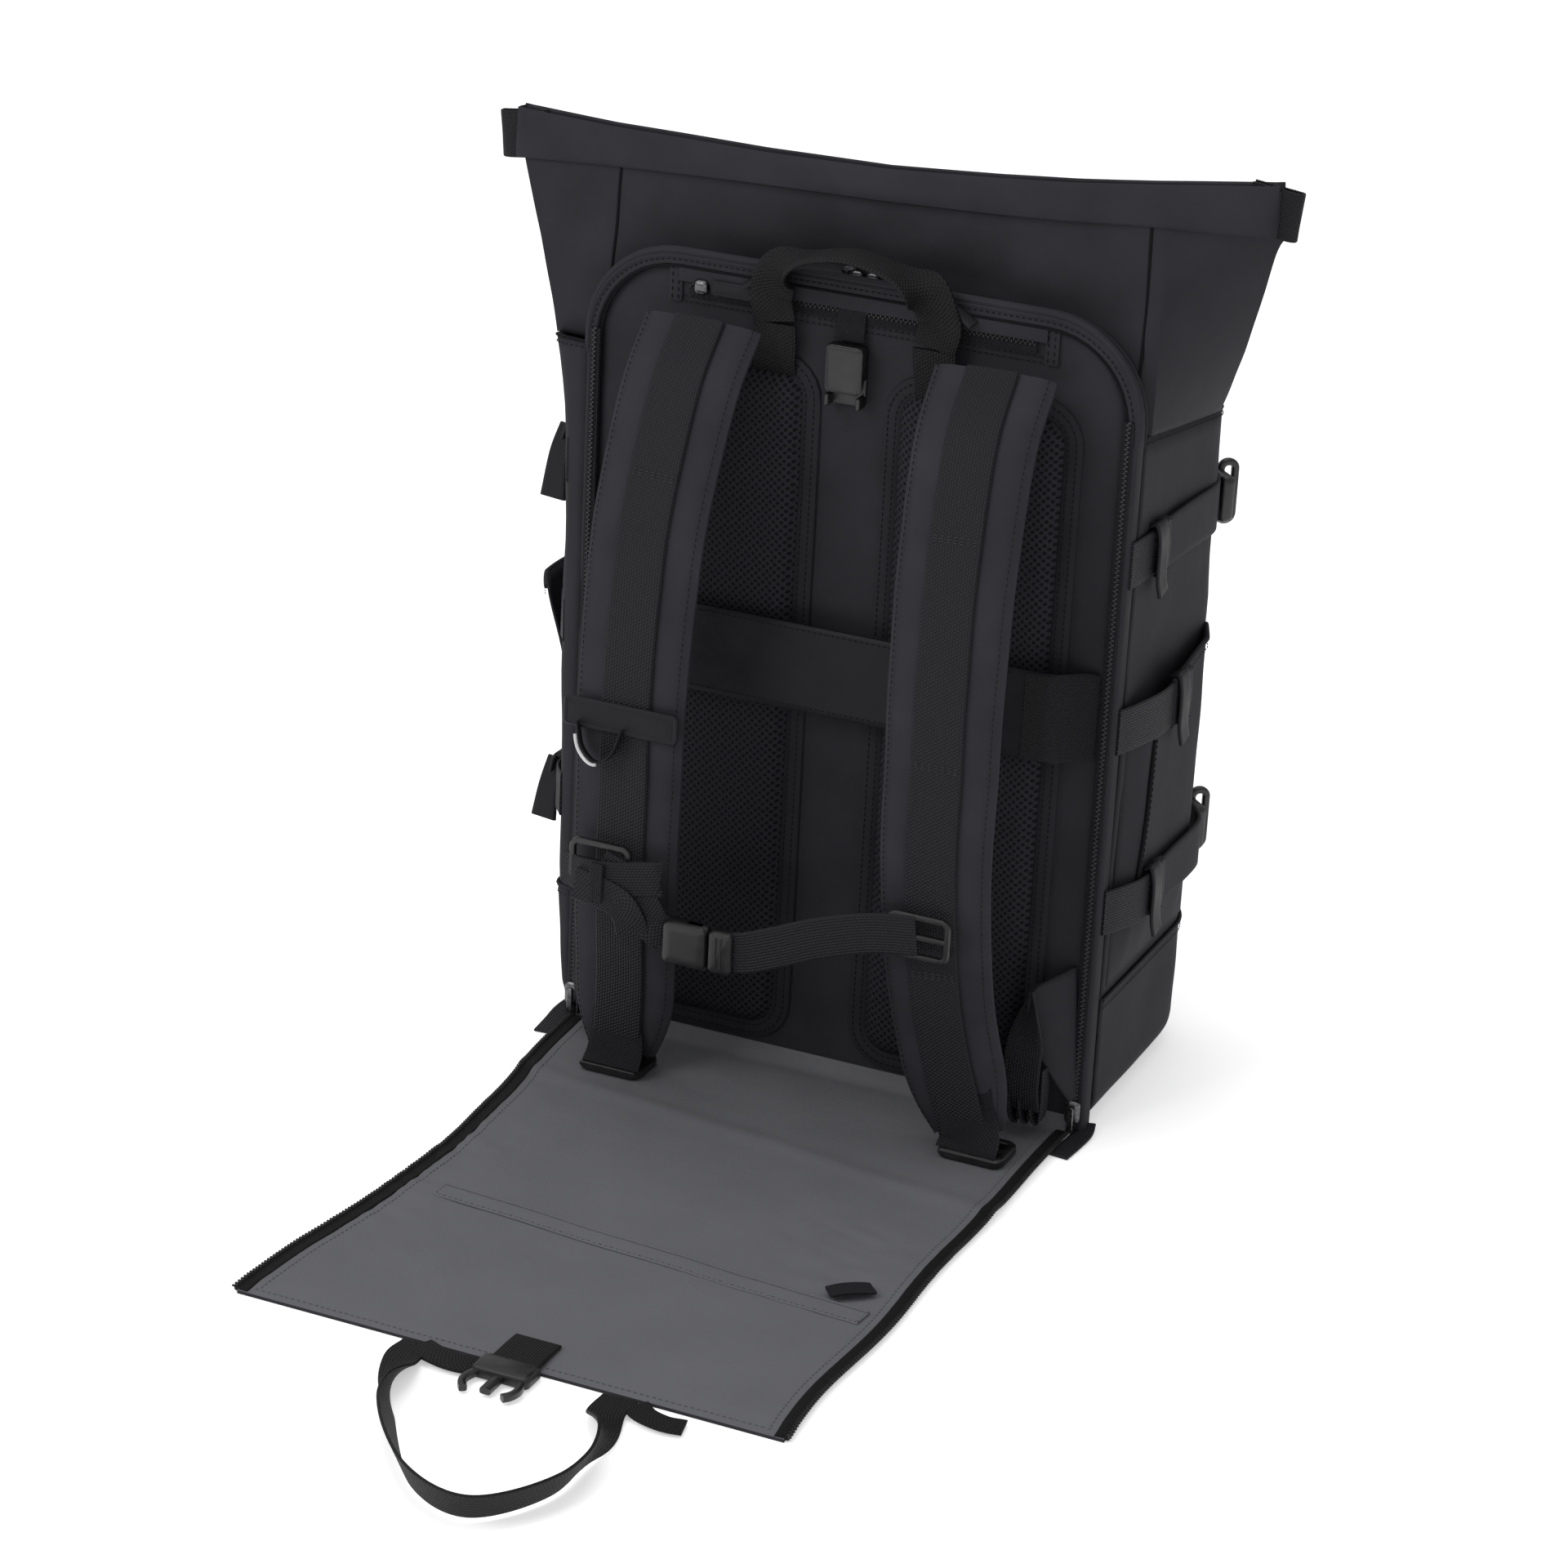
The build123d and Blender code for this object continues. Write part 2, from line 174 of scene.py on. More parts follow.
def tint(material, value, dark, light):
    """Base colour between two tones."""
    mix = material.node_tree.nodes.new("ShaderNodeMix")
    mix.data_type = "RGBA"
    material.node_tree.links.new(value, mix.inputs["Factor"])
    mix.inputs["A"].default_value = (*dark, 1)
    mix.inputs["B"].default_value = (*light, 1)
    bsdf = material.node_tree.nodes["Principled BSDF"]
    material.node_tree.links.new(mix.outputs["Result"], bsdf.inputs["Base Color"])


def rough(material, value):
    bsdf = material.node_tree.nodes["Principled BSDF"]
    material.node_tree.links.new(value, bsdf.inputs["Roughness"])


def relief(material, heights):
    """Bump from (height, strength, distance in mm) layers."""
    normal = None
    for height, strength, depth in heights:
        inputs = {"Height": height, "Strength": strength, "Distance": depth * MM}
        if normal is not None:
            inputs["Normal"] = normal
        normal = node(material, "ShaderNodeBump", **inputs).outputs["Normal"]
    bsdf = material.node_tree.nodes["Principled BSDF"]
    material.node_tree.links.new(normal, bsdf.inputs["Normal"])


def scaled(tone, factor):
    return tuple(channel * factor for channel in tone)


def coated_fabric(name, tone):
    """Matt coated canvas: a soft grain, faint mottling, and slightly duller patches."""
    made = shader(name, tone, 0.7, specular=0.07)
    place = place_coords(made)
    mottle = noise_value(made, place, 0.03, 4.0)
    grain = noise_value(made, place, 1.3, 2.0)
    tint(made, ramp(made, mottle, 0.3, 0.7, 0.0, 1.0), scaled(tone, 0.86), scaled(tone, 1.14))
    rough(made, ramp(made, mottle, 0.3, 0.7, 0.64, 0.78))
    creases = noise_value(made, place, 0.09, 3.0)
    relief(made, [(creases, 0.25, 1.2), (grain, 0.18, 0.25)])
    return made


def webbing_fabric(name, tone, rib=2.1):
    """Nylon webbing: ribs across it, broken into rows of yarn, with painted shade in the rib valleys and
    painted highlights on the crests.
    """
    made = shader(name, tone, 0.6, specular=0.22)
    along, across, _ = split(made, cloth_coords(made))
    row = maths(made, "FLOOR", maths(made, "DIVIDE", across, rib * 0.75))
    shifted = maths(made, "ADD", along, maths(made, "MULTIPLY", row, rib * 0.5))
    ribs = wave(made, shifted, rib)
    yarns = wave(made, across, rib * 0.75)
    height = maths(made, "MULTIPLY", ribs, yarns)
    # Painted shade and highlight: the colour follows the rib height, darker in the valleys and lighter on
    # the crests.
    tint(made, ramp(made, height, 0.0, 1.0, 0.0, 1.0), scaled(tone, 0.62), scaled(tone, 1.3))
    relief(made, [(height, 1.0, 0.7)])
    return made


def mesh_fabric(name, tone):
    """Air mesh with staggered round holes, painted darker inside as shade."""
    made = shader(name, tone, 0.8, specular=0.12)
    place = place_coords(made)
    x, _, z = split(made, place)
    pitch = 3.1
    turned = node(
        made, "ShaderNodeCombineXYZ",
        X=maths(made, "DIVIDE", maths(made, "ADD", x, z), pitch * 1.414),
        Y=maths(made, "DIVIDE", maths(made, "SUBTRACT", x, z), pitch * 1.414),
    ).outputs["Vector"]
    holes = node(made, "ShaderNodeTexVoronoi", voronoi_dimensions="2D", Vector=turned, Scale=1.0,
                 Randomness=0.12)
    hole = ramp(made, holes.outputs["Distance"], 0.24, 0.36, 0.0, 1.0)
    fuzz = noise_value(made, place, 0.9, 2.0)
    # Painted shade: the holes are tinted to 0.3 of the tone and the mesh between them to 1.2.
    tint(made, hole, scaled(tone, 0.3), scaled(tone, 1.2))
    relief(made, [(hole, 0.9, 0.7), (fuzz, 0.35, 0.4)])
    return made


def leather(name, tone):
    """Smooth leather-like trim with a fine pebble grain."""
    made = shader(name, tone, 0.55, specular=0.12)
    place = place_coords(made)
    cells = node(made, "ShaderNodeTexVoronoi", Vector=place, Scale=0.75, Randomness=1.0).outputs["Distance"]
    mottle = noise_value(made, place, 0.06, 4.0)
    tint(made, ramp(made, mottle, 0.3, 0.7, 0.0, 1.0), scaled(tone, 0.85), scaled(tone, 1.15))
    rough(made, ramp(made, mottle, 0.3, 0.7, 0.45, 0.6))
    relief(made, [(cells, 0.35, 0.2)])
    return made


def lining_fabric(name, tone):
    """Plain woven lining with a faint diagonal grain, painted shade in the weave's hollows and a random
    mottle.
    """
    made = shader(name, tone, 0.75, specular=0.15)
    place = place_coords(made)
    x, y, _ = split(made, place)
    warp = wave(made, x, 1.1)
    weft = wave(made, y, 1.1)
    grain = noise_value(made, place, 0.8, 3.0)
    weave = maths(made, "ADD", maths(made, "MULTIPLY", warp, weft), maths(made, "MULTIPLY", grain, 0.8))
    mottle = noise_value(made, place, 0.02, 3.0)
    # Painted shade on the weave: the tint follows the weave's relief, darker in its hollows, mixed with a
    # random mottle.
    weave_shade_and_mottle = maths(made, "ADD", maths(made, "MULTIPLY", weave, 0.35), maths(made, "MULTIPLY", mottle, 0.6))
    tint(made, ramp(made, weave_shade_and_mottle, 0.2, 0.9, 0.0, 1.0), scaled(tone, 0.9), scaled(tone, 1.1))
    relief(made, [(weave, 0.3, 0.25), (noise_value(made, place, 0.05, 3.0), 0.3, 2.0)])
    return made


def moulded_plastic(name, tone, roughness=0.38):
    """Injection-moulded acetal: a fine spark-eroded texture, rubbed a little smoother in places."""
    made = shader(name, tone, roughness, specular=0.5)
    place = place_coords(made)
    wear = noise_value(made, place, 0.12, 3.0)
    rough(made, ramp(made, wear, 0.3, 0.7, roughness - 0.08, roughness + 0.1))
    tint(made, ramp(made, wear, 0.3, 0.7, 0.0, 1.0), scaled(tone, 0.85), scaled(tone, 1.2))
    relief(made, [(noise_value(made, place, 2.5, 2.0), 0.15, 0.1)])
    return made


def dark_metal(name, tone):
    """Gunmetal plating with faint brushing and worn edges."""
    made = shader(name, tone, 0.3, specular=0.5, metallic=1.0)
    place = place_coords(made)
    wear = noise_value(made, place, 0.4, 4.0)
    tint(made, ramp(made, wear, 0.35, 0.7, 0.0, 1.0), scaled(tone, 0.7), scaled(tone, 1.6))
    rough(made, ramp(made, wear, 0.3, 0.7, 0.22, 0.42))
    relief(made, [(noise_value(made, place, 3.0, 2.0), 0.1, 0.08)])
    return made


SHELL = coated_fabric("shell_fabric", (0.0245, 0.0238, 0.0282))
STRAP = coated_fabric("strap_fabric", (0.0275, 0.0266, 0.0318))
PAD_MESH = mesh_fabric("pad_mesh", (0.0170, 0.0163, 0.0205))
PAD_EDGE = coated_fabric("pad_edge", (0.0200, 0.0194, 0.0232))
WEBBING = webbing_fabric("webbing", (0.0135, 0.0130, 0.0168))
DARK_WEBBING = webbing_fabric("dark_webbing", (0.0052, 0.0050, 0.0064))
FINE_WEBBING = webbing_fabric("fine_webbing", (0.0110, 0.0106, 0.0132), rib=1.6)
LEATHER = leather("leather", (0.0140, 0.0136, 0.0165))
LINING = lining_fabric("lining", (0.115, 0.116, 0.126))
TAPE = webbing_fabric("zip_tape", (0.0070, 0.0070, 0.0080), rib=0.9)
COIL = moulded_plastic("zip_coil", (0.0075, 0.0074, 0.0086), 0.6)
PLASTIC = moulded_plastic("buckle_plastic", (0.0060, 0.0060, 0.0068))
METAL = dark_metal("gunmetal", (0.10, 0.10, 0.105))
# Painted shade: the shell fabric at about a quarter of its tone, laid as thin cords in seams, grooves and
# slits where shade falls.
SEAM_SHADE = coated_fabric("seam_shade", (0.0060, 0.0058, 0.0068))
THREAD = webbing_fabric("thread", (0.0090, 0.0088, 0.0105), rib=0.6)
BAR_THREAD = webbing_fabric("bar_tack_thread", (0.055, 0.054, 0.060), rib=0.6)
WORN_COIL = moulded_plastic("worn_zip_coil", (0.024, 0.024, 0.028), 0.6)
LINING_THREAD = webbing_fabric("lining_thread", (0.260, 0.260, 0.270), rib=0.6)
REFLECTIVE = moulded_plastic("reflective_edge", (0.55, 0.55, 0.57), 0.3)
SHEET_PLASTIC = moulded_plastic("sheet_plastic", (0.20, 0.20, 0.21), 0.5)


# ---------------------------------------------------------------- mesh tools

def unit(vectors):
    lengths = np.linalg.norm(vectors, axis=-1, keepdims=True)
    return vectors / np.maximum(lengths, 1e-9)


def add_mesh(name, verts, faces, material, body, cloth=None, sharp=40, slot=None):
    """Make a piece from millimetre vertices and let it ride on a body."""
    mesh = bpy.data.meshes.new(name)
    mesh.from_pydata((np.asarray(verts, float) * MM).tolist(), [], faces)
    if cloth is not None:
        attribute = mesh.attributes.new("cloth", "FLOAT_VECTOR", "POINT")
        attribute.data.foreach_set("vector", np.asarray(cloth, np.float32).ravel())
    work = bmesh.new()
    work.from_mesh(mesh)
    bmesh.ops.recalc_face_normals(work, faces=work.faces)
    work.to_mesh(mesh)
    work.free()
    mesh.shade_smooth()
    mesh.set_sharp_from_angle(angle=math.radians(sharp))
    mesh.materials.append(material)
    piece = bpy.data.objects.new(name, mesh)
    bpy.context.scene.collection.objects.link(piece)
    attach(piece, body)
    return piece


def smooth_path(points, count):
    """A smooth curve through given points, evenly spaced along its length."""
    points = np.array(points, float)
    ends = np.vstack([2 * points[0] - points[1], points, 2 * points[-1] - points[-2]])
    fine = []
    for i in range(1, len(ends) - 2):
        a, b, c, d = ends[i - 1:i + 3]
        for t in np.linspace(0, 1, 24, endpoint=False):
            fine.append(0.5 * (2 * b + (c - a) * t + (2 * a - 5 * b + 4 * c - d) * t**2
                               + (3 * b - a - 3 * c + d) * t**3))
    fine.append(ends[-2])
    return resample(np.array(fine), count)


def run_length(path):
    steps = np.linalg.norm(np.diff(path, axis=0), axis=1)
    return np.concatenate([[0], np.cumsum(steps)])


def resample(path, count):
    run = run_length(path)
    even = np.linspace(0, run[-1], count)
    return np.stack([np.interp(even, run, path[:, k]) for k in range(path.shape[1])], axis=1)


def frames_along(path, across):
    """Unit vectors across and above a strip that follows a path."""
    tangent = unit(np.gradient(path, axis=0))
    across = np.broadcast_to(across, path.shape)
    above = unit(np.cross(tangent, across))
    return unit(np.cross(above, tangent)), above


def oval(width, thick, power=6.0, count=20):
    """Cross-section with flat faces and round edges, as (across, above) pairs."""
    angle = np.linspace(0, 2 * math.pi, count, endpoint=False)
    c, s = np.cos(angle), np.sin(angle)
    x = width / 2 * np.sign(c) * np.abs(c) ** (2 / power)
    y = thick / 2 * np.sign(s) * np.abs(s) ** (2 / power)
    return np.stack([x, y], axis=1)


def strip_profile(width, thick, count=9):
    """Cross-section of a flat strip, with points spread over its faces."""
    half = width / 2
    inner = np.linspace(-half + thick * 0.4, half - thick * 0.4, count)
    top = [(x, thick / 2) for x in inner]
    bottom = [(x, -thick / 2) for x in inner[::-1]]
    right = [(half - thick * 0.1, thick * 0.3), (half, 0), (half - thick * 0.1, -thick * 0.3)]
    left = [(-x, -y) for x, y in right]
    return np.array(top + right + bottom + left)


def sweep(name, path, across, profile, material, body, grow=None, **more):
    """Carry a closed cross-section along a path. grow scales it at each station."""
    side, above = frames_along(path, across)
    stations, around = len(path), len(profile)
    scale = np.ones((stations, 2)) if grow is None else np.asarray(grow, float)
    rings = path[:, None, :] + side[:, None, :] * (profile[None, :, :1] * scale[:, None, :1])
    rings = rings + above[:, None, :] * (profile[None, :, 1:] * scale[:, None, 1:])
    faces = [
        (i * around + j, i * around + (j + 1) % around, (i + 1) * around + (j + 1) % around,
         (i + 1) * around + j)
        for i in range(stations - 1)
        for j in range(around)
    ]
    faces.append(tuple(range(around))[::-1])
    faces.append(tuple((stations - 1) * around + j for j in range(around)))
    along = np.repeat(run_length(path), around)
    wide = np.tile(profile[:, 0], stations)
    cloth = np.stack([along, wide, np.zeros_like(wide)], axis=1)
    return add_mesh(name, rings.reshape(-1, 3), faces, material, body, cloth, **more)


def webbing(name, points, across, width, body, thick=1.6, count=60, material=None, **more):
    """A flat webbing strip through a few points."""
    path = smooth_path(points, count)
    return sweep(name, path, across, strip_profile(width, thick), material or WEBBING, body, **more)


def cord(name, path, radius, material, body, **more):
    """A thin round bead along a path."""
    helper = Z_AXIS if abs(unit(path[-1] - path[0])[2]) < 0.8 else X_AXIS
    return sweep(name, path, helper, oval(2 * radius, 2 * radius, 2, 8), material, body, **more)


def grid(name, points, material, body, wrap=False, thick=0.0, cloth_scale=1.0, **more):
    """A sheet from an array of points [row, column], thickened inwards if asked."""
    rows, cols = points.shape[:2]
    last = cols if wrap else cols - 1
    faces = [
        (i * cols + j, i * cols + (j + 1) % cols, (i + 1) * cols + (j + 1) % cols, (i + 1) * cols + j)
        for i in range(rows - 1)
        for j in range(last)
    ]
    along = np.stack([run_length(row) for row in points])
    down = np.stack([run_length(points[:, j]) for j in range(cols)], axis=1)
    cloth = np.stack([along, down, np.zeros_like(along)], axis=-1).reshape(-1, 3) * cloth_scale
    piece = add_mesh(name, points.reshape(-1, 3), faces, material, body, cloth, **more)
    if thick:
        solid = piece.modifiers.new("thickness", "SOLIDIFY")
        solid.thickness = thick * MM
        solid.offset = -1
        solid.use_even_offset = True
    return piece


def round_rect(x, z, radius, inset=0.0, corner=7, side=8):
    """Points round a rectangle with round corners, the same number whatever the inset."""
    x0, x1, z0, z1 = x[0] + inset, x[1] - inset, z[0] + inset, z[1] - inset
    r = min(max(radius - inset, 0.4), (x1 - x0) / 2, (z1 - z0) / 2)
    centres = [(x1 - r, z0 + r, -90), (x1 - r, z1 - r, 0), (x0 + r, z1 - r, 90), (x0 + r, z0 + r, 180)]
    arcs = []
    for cx, cz, start in centres:
        angles = np.radians(np.linspace(start, start + 90, corner))
        arcs.append(np.stack([cx + r * np.cos(angles), cz + r * np.sin(angles)], axis=1))
    points = []
    for arc, following in zip(arcs, arcs[1:] + arcs[:1]):
        points.append(arc)
        steps = np.linspace(0, 1, side + 1)[1:-1, None]
        points.append(arc[-1] * (1 - steps) + following[0] * steps)
    return np.vstack(points)


def dome(name, x, z, radius, layers, place, material, body, inner=None, from_layer=0, **more):
    """A rounded plate built of rings. layers holds (inset, height) from its foot to its middle.
    place turns (a, b, height) into a point. inner is a second material from one layer on."""
    rings = [round_rect(x, z, radius, inset) for inset, _ in layers]
    around = len(rings[0])
    verts = []
    for ring, (_, height) in zip(rings, layers):
        verts.extend(place(a, b, height) for a, b in ring)
    faces, slots = [], []
    for i in range(len(rings) - 1):
        for j in range(around):
            k = (j + 1) % around
            faces.append((i * around + j, i * around + k, (i + 1) * around + k, (i + 1) * around + j))
            slots.append(1 if inner and i >= from_layer else 0)
    faces.append(tuple(range(around))[::-1])
    slots.append(0)
    faces.append(tuple((len(rings) - 1) * around + j for j in range(around)))
    slots.append(1 if inner else 0)
    cloth = np.array([(b, a, 0) for ring in rings for a, b in ring])
    piece = add_mesh(name, verts, faces, material, body, cloth, **more)
    if inner:
        piece.data.materials.append(inner)
        piece.data.polygons.foreach_set("material_index", slots)
    return piece


def facing_back(y):
    """Place a plate so that it faces -Y, with its foot at y."""
    return lambda a, b, height: (a, y - height, b)


def facing_front(y):
    return lambda a, b, height: (-a, y + height, b)


def facing_up(z):
    return lambda a, b, height: (a, b, z + height)


def stitch_line(path, above, pitch=3.4, length=2.3, radius=0.33):
    """Rings of one capsule for each stitch along a path."""
    run = run_length(path)
    count = max(int(run[-1] / pitch), 1)
    above = np.broadcast_to(above, path.shape)
    verts, faces = [], []
    for i in range(count):
        s = (i + 0.5) * run[-1] / count
        centre = np.array([np.interp(s, run, path[:, k]) for k in range(3)])
        ahead = np.array([np.interp(s + 0.5, run, path[:, k]) for k in range(3)])
        behind = np.array([np.interp(s - 0.5, run, path[:, k]) for k in range(3)])
        tangent = unit(ahead - behind)
        up = unit(np.array([np.interp(s, run, above[:, k]) for k in range(3)]))
        side = unit(np.cross(tangent, up))
        base = len(verts)
        verts.append(centre - tangent * length / 2)
        for t in (-0.32, 0.32):
            for turn in range(6):
                angle = turn * math.pi / 3
                offset = side * math.cos(angle) + up * math.sin(angle)
                verts.append(centre + tangent * length * t + offset * radius)
        verts.append(centre + tangent * length / 2)
        for turn in range(6):
            k = (turn + 1) % 6
            faces.append((base, base + 1 + k, base + 1 + turn))
            faces.append((base + 1 + turn, base + 1 + k, base + 7 + k, base + 7 + turn))
            faces.append((base + 13, base + 7 + turn, base + 7 + k))
    return verts, faces


def stitches(name, lines, body, material=None, slot=None, **size):
    """All the stitches of one seam group as one piece. lines holds (path, above) pairs."""
    verts, faces = [], []
    for path, above in lines:
        more_verts, more_faces = stitch_line(np.asarray(path, float), np.asarray(above, float), **size)
        faces.extend(tuple(v + len(verts) for v in face) for face in more_faces)
        verts.extend(more_verts)
    return add_mesh(name, verts, faces, material or THREAD, body, np.array(verts), slot=slot)


def zip_teeth(name, path, above, body, width=1.9, pitch=1.3, material=None):
    """Two interlocking rows of coil teeth along a path."""
    path = resample(path, int(run_length(path)[-1] / pitch) + 1)
    side, up = frames_along(path, np.cross(above, unit(np.gradient(path, axis=0))))
    tangent = unit(np.gradient(path, axis=0))
    verts, faces = [], []
    box_faces = [(0, 1, 2, 3), (7, 6, 5, 4), (0, 4, 5, 1), (1, 5, 6, 2), (2, 6, 7, 3), (3, 7, 4, 0)]
    for i, centre in enumerate(path):
        hand = 1 if i % 2 else -1
        middle = centre + side[i] * hand * width * 0.28
        base = len(verts)
        for h, w in ((-0.45, 1.0), (0.55, 0.72)):
            for a, b in ((-1, -1), (1, -1), (1, 1), (-1, 1)):
                along = tangent[i] * a * pitch * 0.42 * w
                verts.append(middle + along + side[i] * b * width * 0.5 * w + up[i] * h)
        faces.extend(tuple(base + v for v in face) for face in box_faces)
    return add_mesh(name, verts, faces, material or COIL, body, np.array(verts), slot="zip_tape")


# ---------------------------------------------------------------- the bag's outlines

def seam_z(y):
    """Height of the seam between the walls and the neck."""
    return 402 - (y - PANEL_Y) * 24 / (FRONT_Y - PANEL_Y)


COLLAR_STATIONS = [-226, -160, -71, 0, 62, 104, 149, 226]
COLLAR_FOLD_Z = [492.5, 496.6, 500, 501.7, 504, 506.5, 510.5, 515.5]
COLLAR_BAND = [27, 20, 16, 15.5, 17.5, 19, 20.5, 26]


def collar_z(x):
    """Lower edge of the collar's fold."""
    return float(np.interp(x, COLLAR_STATIONS, COLLAR_FOLD_Z))


def collar_band(x):
    """Height of the folded collar, which rolls over between its tips."""
    return float(np.interp(x, COLLAR_STATIONS, COLLAR_BAND))


BULGE_HEIGHTS = [0, 20, 77, 191, 293, 359, 382, 402]
BULGE_DEPTHS = [0, 4, 10, 13, 14, 17, 20, 24]


def bulge(x, y, z):
    """How far the left wall swells out past the right one."""
    if x > -100:
        return 0.0
    depth = np.interp(z, BULGE_HEIGHTS, BULGE_DEPTHS)
    behind = np.interp(y, [-92, -91, -86, -78, 35, 85], [0, 0.55, 0.92, 1, 0.35, 0])
    return float(depth * behind)


def bag_plan(count, inset=0.0, rear=REAR_Y):
    """Plan of the walls, from the rear left round the front to the rear right."""
    half, front, radius = HALF - inset, FRONT_Y - inset, CORNER - inset
    left_arc = [
        (-half + radius - radius * math.cos(a), front - radius + radius * math.sin(a))
        for a in np.linspace(0, math.pi / 2, 12)
    ]
    right_arc = [(-x, y) for x, y in reversed(left_arc)]
    points = np.array([(-half, rear)] + left_arc + right_arc + [(half, rear)])
    return resample(points, count)


def wall_plan(count, out=0.0):
    """The walls' plan, whose left end turns in to meet the back panel's frame."""
    hem = np.array([(-HALF + 2, -92.2), (-HALF, -91.6), (-HALF - out, -90), (-HALF - out, -87),
                    (-HALF - out, -84)])
    return np.vstack([hem, bag_plan(count, -out)])


def wall_grid(z_low, z_high, count=150, rows=26, out=0.0, amount=1.6, seed=0.0, tuck=0.0):
    """Points over the walls between two heights, with soft folds. tuck rounds the lower edge under."""
    plan = wall_plan(count, out)
    outward = unit(np.stack([-np.gradient(plan[:, 1]), np.gradient(plan[:, 0])], axis=1))
    points = np.zeros((rows, len(plan), 3))
    for i, t in enumerate(np.linspace(0, 1, rows)):
        if tuck:
            below = max(0.0, tuck - z_low(0) - (z_high(0) - z_low(0)) * t)
            plan = wall_plan(count, out - tuck + math.sqrt(tuck**2 - below**2))
        for j, (x, y) in enumerate(plan):
            low, high = z_low(y), z_high(y)
            z = low + (high - low) * t
            pull = math.sin(math.pi * t) ** 0.5
            fold = amount * noise.noise(Vector((x / 60, y / 60 + seed, z / 45))) * pull
            fold += 0.4 * amount * noise.noise(Vector((x / 22, y / 22, z / 30 + seed))) * pull
            points[i, j] = (x + outward[j, 0] * fold - bulge(x, y, z), y + outward[j, 1] * fold, z)
    return points


def wall_line(z_of_y, out, count=150):
    """A line round the walls at a given height."""
    return np.array([(x - bulge(x, y, z_of_y(y)), y, z_of_y(y)) for x, y in wall_plan(count, out)])


def plan_normals(line):
    tangent = unit(np.gradient(line, axis=0))
    return unit(np.cross(tangent, Z_AXIS)) * -1


# ---------------------------------------------------------------- shell

def make_walls():
    low, high = WALL_LOW[2] - 0.3, seam_z
    walls = grid("walls", wall_grid(lambda y: low, high), SHELL, "shell", thick=1.8, slot="shell_fabric")
    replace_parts(walls, "front_panel", "side_panel_left", "side_panel_right")
    boot = grid(
        "boot", wall_grid(lambda y: 0.3, lambda y: low + 1, rows=34, out=1.0, amount=1.0, seed=4, tuck=20.0),
        SHELL, "shell", thick=1.8, slot="shell_fabric",
    )
    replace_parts(boot, "boot_band")
    top_edge = wall_line(lambda y: low + 1, 1.2)
    cord("boot_seam", top_edge, 1.1, SHELL, "shell", slot="shell_fabric")
    neck_seam = wall_line(lambda y: seam_z(y) - 0.5, 0.2)
    # A dark cord of painted shade along the seam between the walls and the neck.
    cord("neck_seam", neck_seam, 0.7, SEAM_SHADE, "shell", slot="shell_fabric")
    lines = [
        (wall_line(lambda y: low - 4, 1.6), plan_normals(top_edge)),
        (wall_line(lambda y: seam_z(y) - 4, 0.7), plan_normals(neck_seam)),
    ]
    for x in (-118, 118):
        for z in ((0.5, low), (low + 1, seam_z(FRONT_Y))):
            seam = smooth_path([(x, FRONT_Y + 0.2, z[0] + 1), (x, FRONT_Y + 0.2, z[1] - 1)], 30)
            cord(f"front_seam_{'left' if x < 0 else 'right'}_{int(z[0])}", seam, 0.8, SHELL, "shell")
    stitches("wall_stitches", lines, "shell", slot="shell_fabric")


def base_plate(name, inset, z0, z1, material):
    """The floor of the bag: its plan as a thick slab with a soft edge."""
    plan = bag_plan(110, inset, rear=-83.7)
    centre = plan.mean(axis=0)
    rings = []
    for shrink, z in ((2.0, z0), (0.4, z0 + 0.4), (0.0, (z0 + z1) / 2), (0.4, z1 - 0.4), (2.0, z1)):
        ring = centre + (plan - centre) * (1 - shrink / 150)
        rings.append(np.column_stack([ring, np.full(len(ring), z)]))
    around = len(plan)
    faces = [
        (i * around + j, i * around + (j + 1) % around, (i + 1) * around + (j + 1) % around,
         (i + 1) * around + j)
        for i in range(4)
        for j in range(around)
    ]
    faces.append(tuple(range(around))[::-1])
    faces.append(tuple(4 * around + j for j in range(around)))
    verts = np.vstack(rings)
    return add_mesh(name, verts, faces, material, "shell", verts, slot="shell_fabric")


def make_base():
    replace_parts(base_plate("base", 17.5, 0, 3.0, SHELL), "base_panel")
    stiffener = base_plate("base_board", 13.0, 3.3, 5.3, SHEET_PLASTIC)
    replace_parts(stiffener, "base_stiffener")


def make_back_panel():
    """The flat panel behind the pads, softly padded along its middle channel."""
    x = (PANEL_LOW[0], PANEL_HIGH[0])
    z = (PANEL_LOW[2], PANEL_HIGH[2])
    rows, cols = 70, 60
    points = np.zeros((rows, cols, 3))
    for i, t in enumerate(np.linspace(0, 1, rows)):
        height = z[0] + (z[1] - z[0]) * t
        drop = max(0, height - (z[1] - CORNER))
        half = x[1] - CORNER + math.sqrt(max(CORNER**2 - drop**2, 4))
        for j, s in enumerate(np.linspace(-1, 1, cols)):
            a = half * s
            fold = 0.9 * noise.noise(Vector((a / 35, 3.0, height / 60))) + 0.4 * noise.noise(Vector((a / 12,
                    8, height / 20)))
            edge = min(1, (1 - abs(s)) * 12)
            puff = 0.7 * edge + fold * edge * 0.8
            points[i, j] = (a, PANEL_Y + 0.6 - puff, height)
    panel = grid("back_wall", points, SHELL, "shell", thick=5.0, slot="shell_fabric")
    panel.modifiers["thickness"].offset = -1 if panel_faces_back(panel) else 1
    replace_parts(panel, "back_panel")


def panel_faces_back(piece):
    """True if the sheet's normals look towards -Y."""
    return piece.data.polygons[len(piece.data.polygons) // 2].normal.y < 0


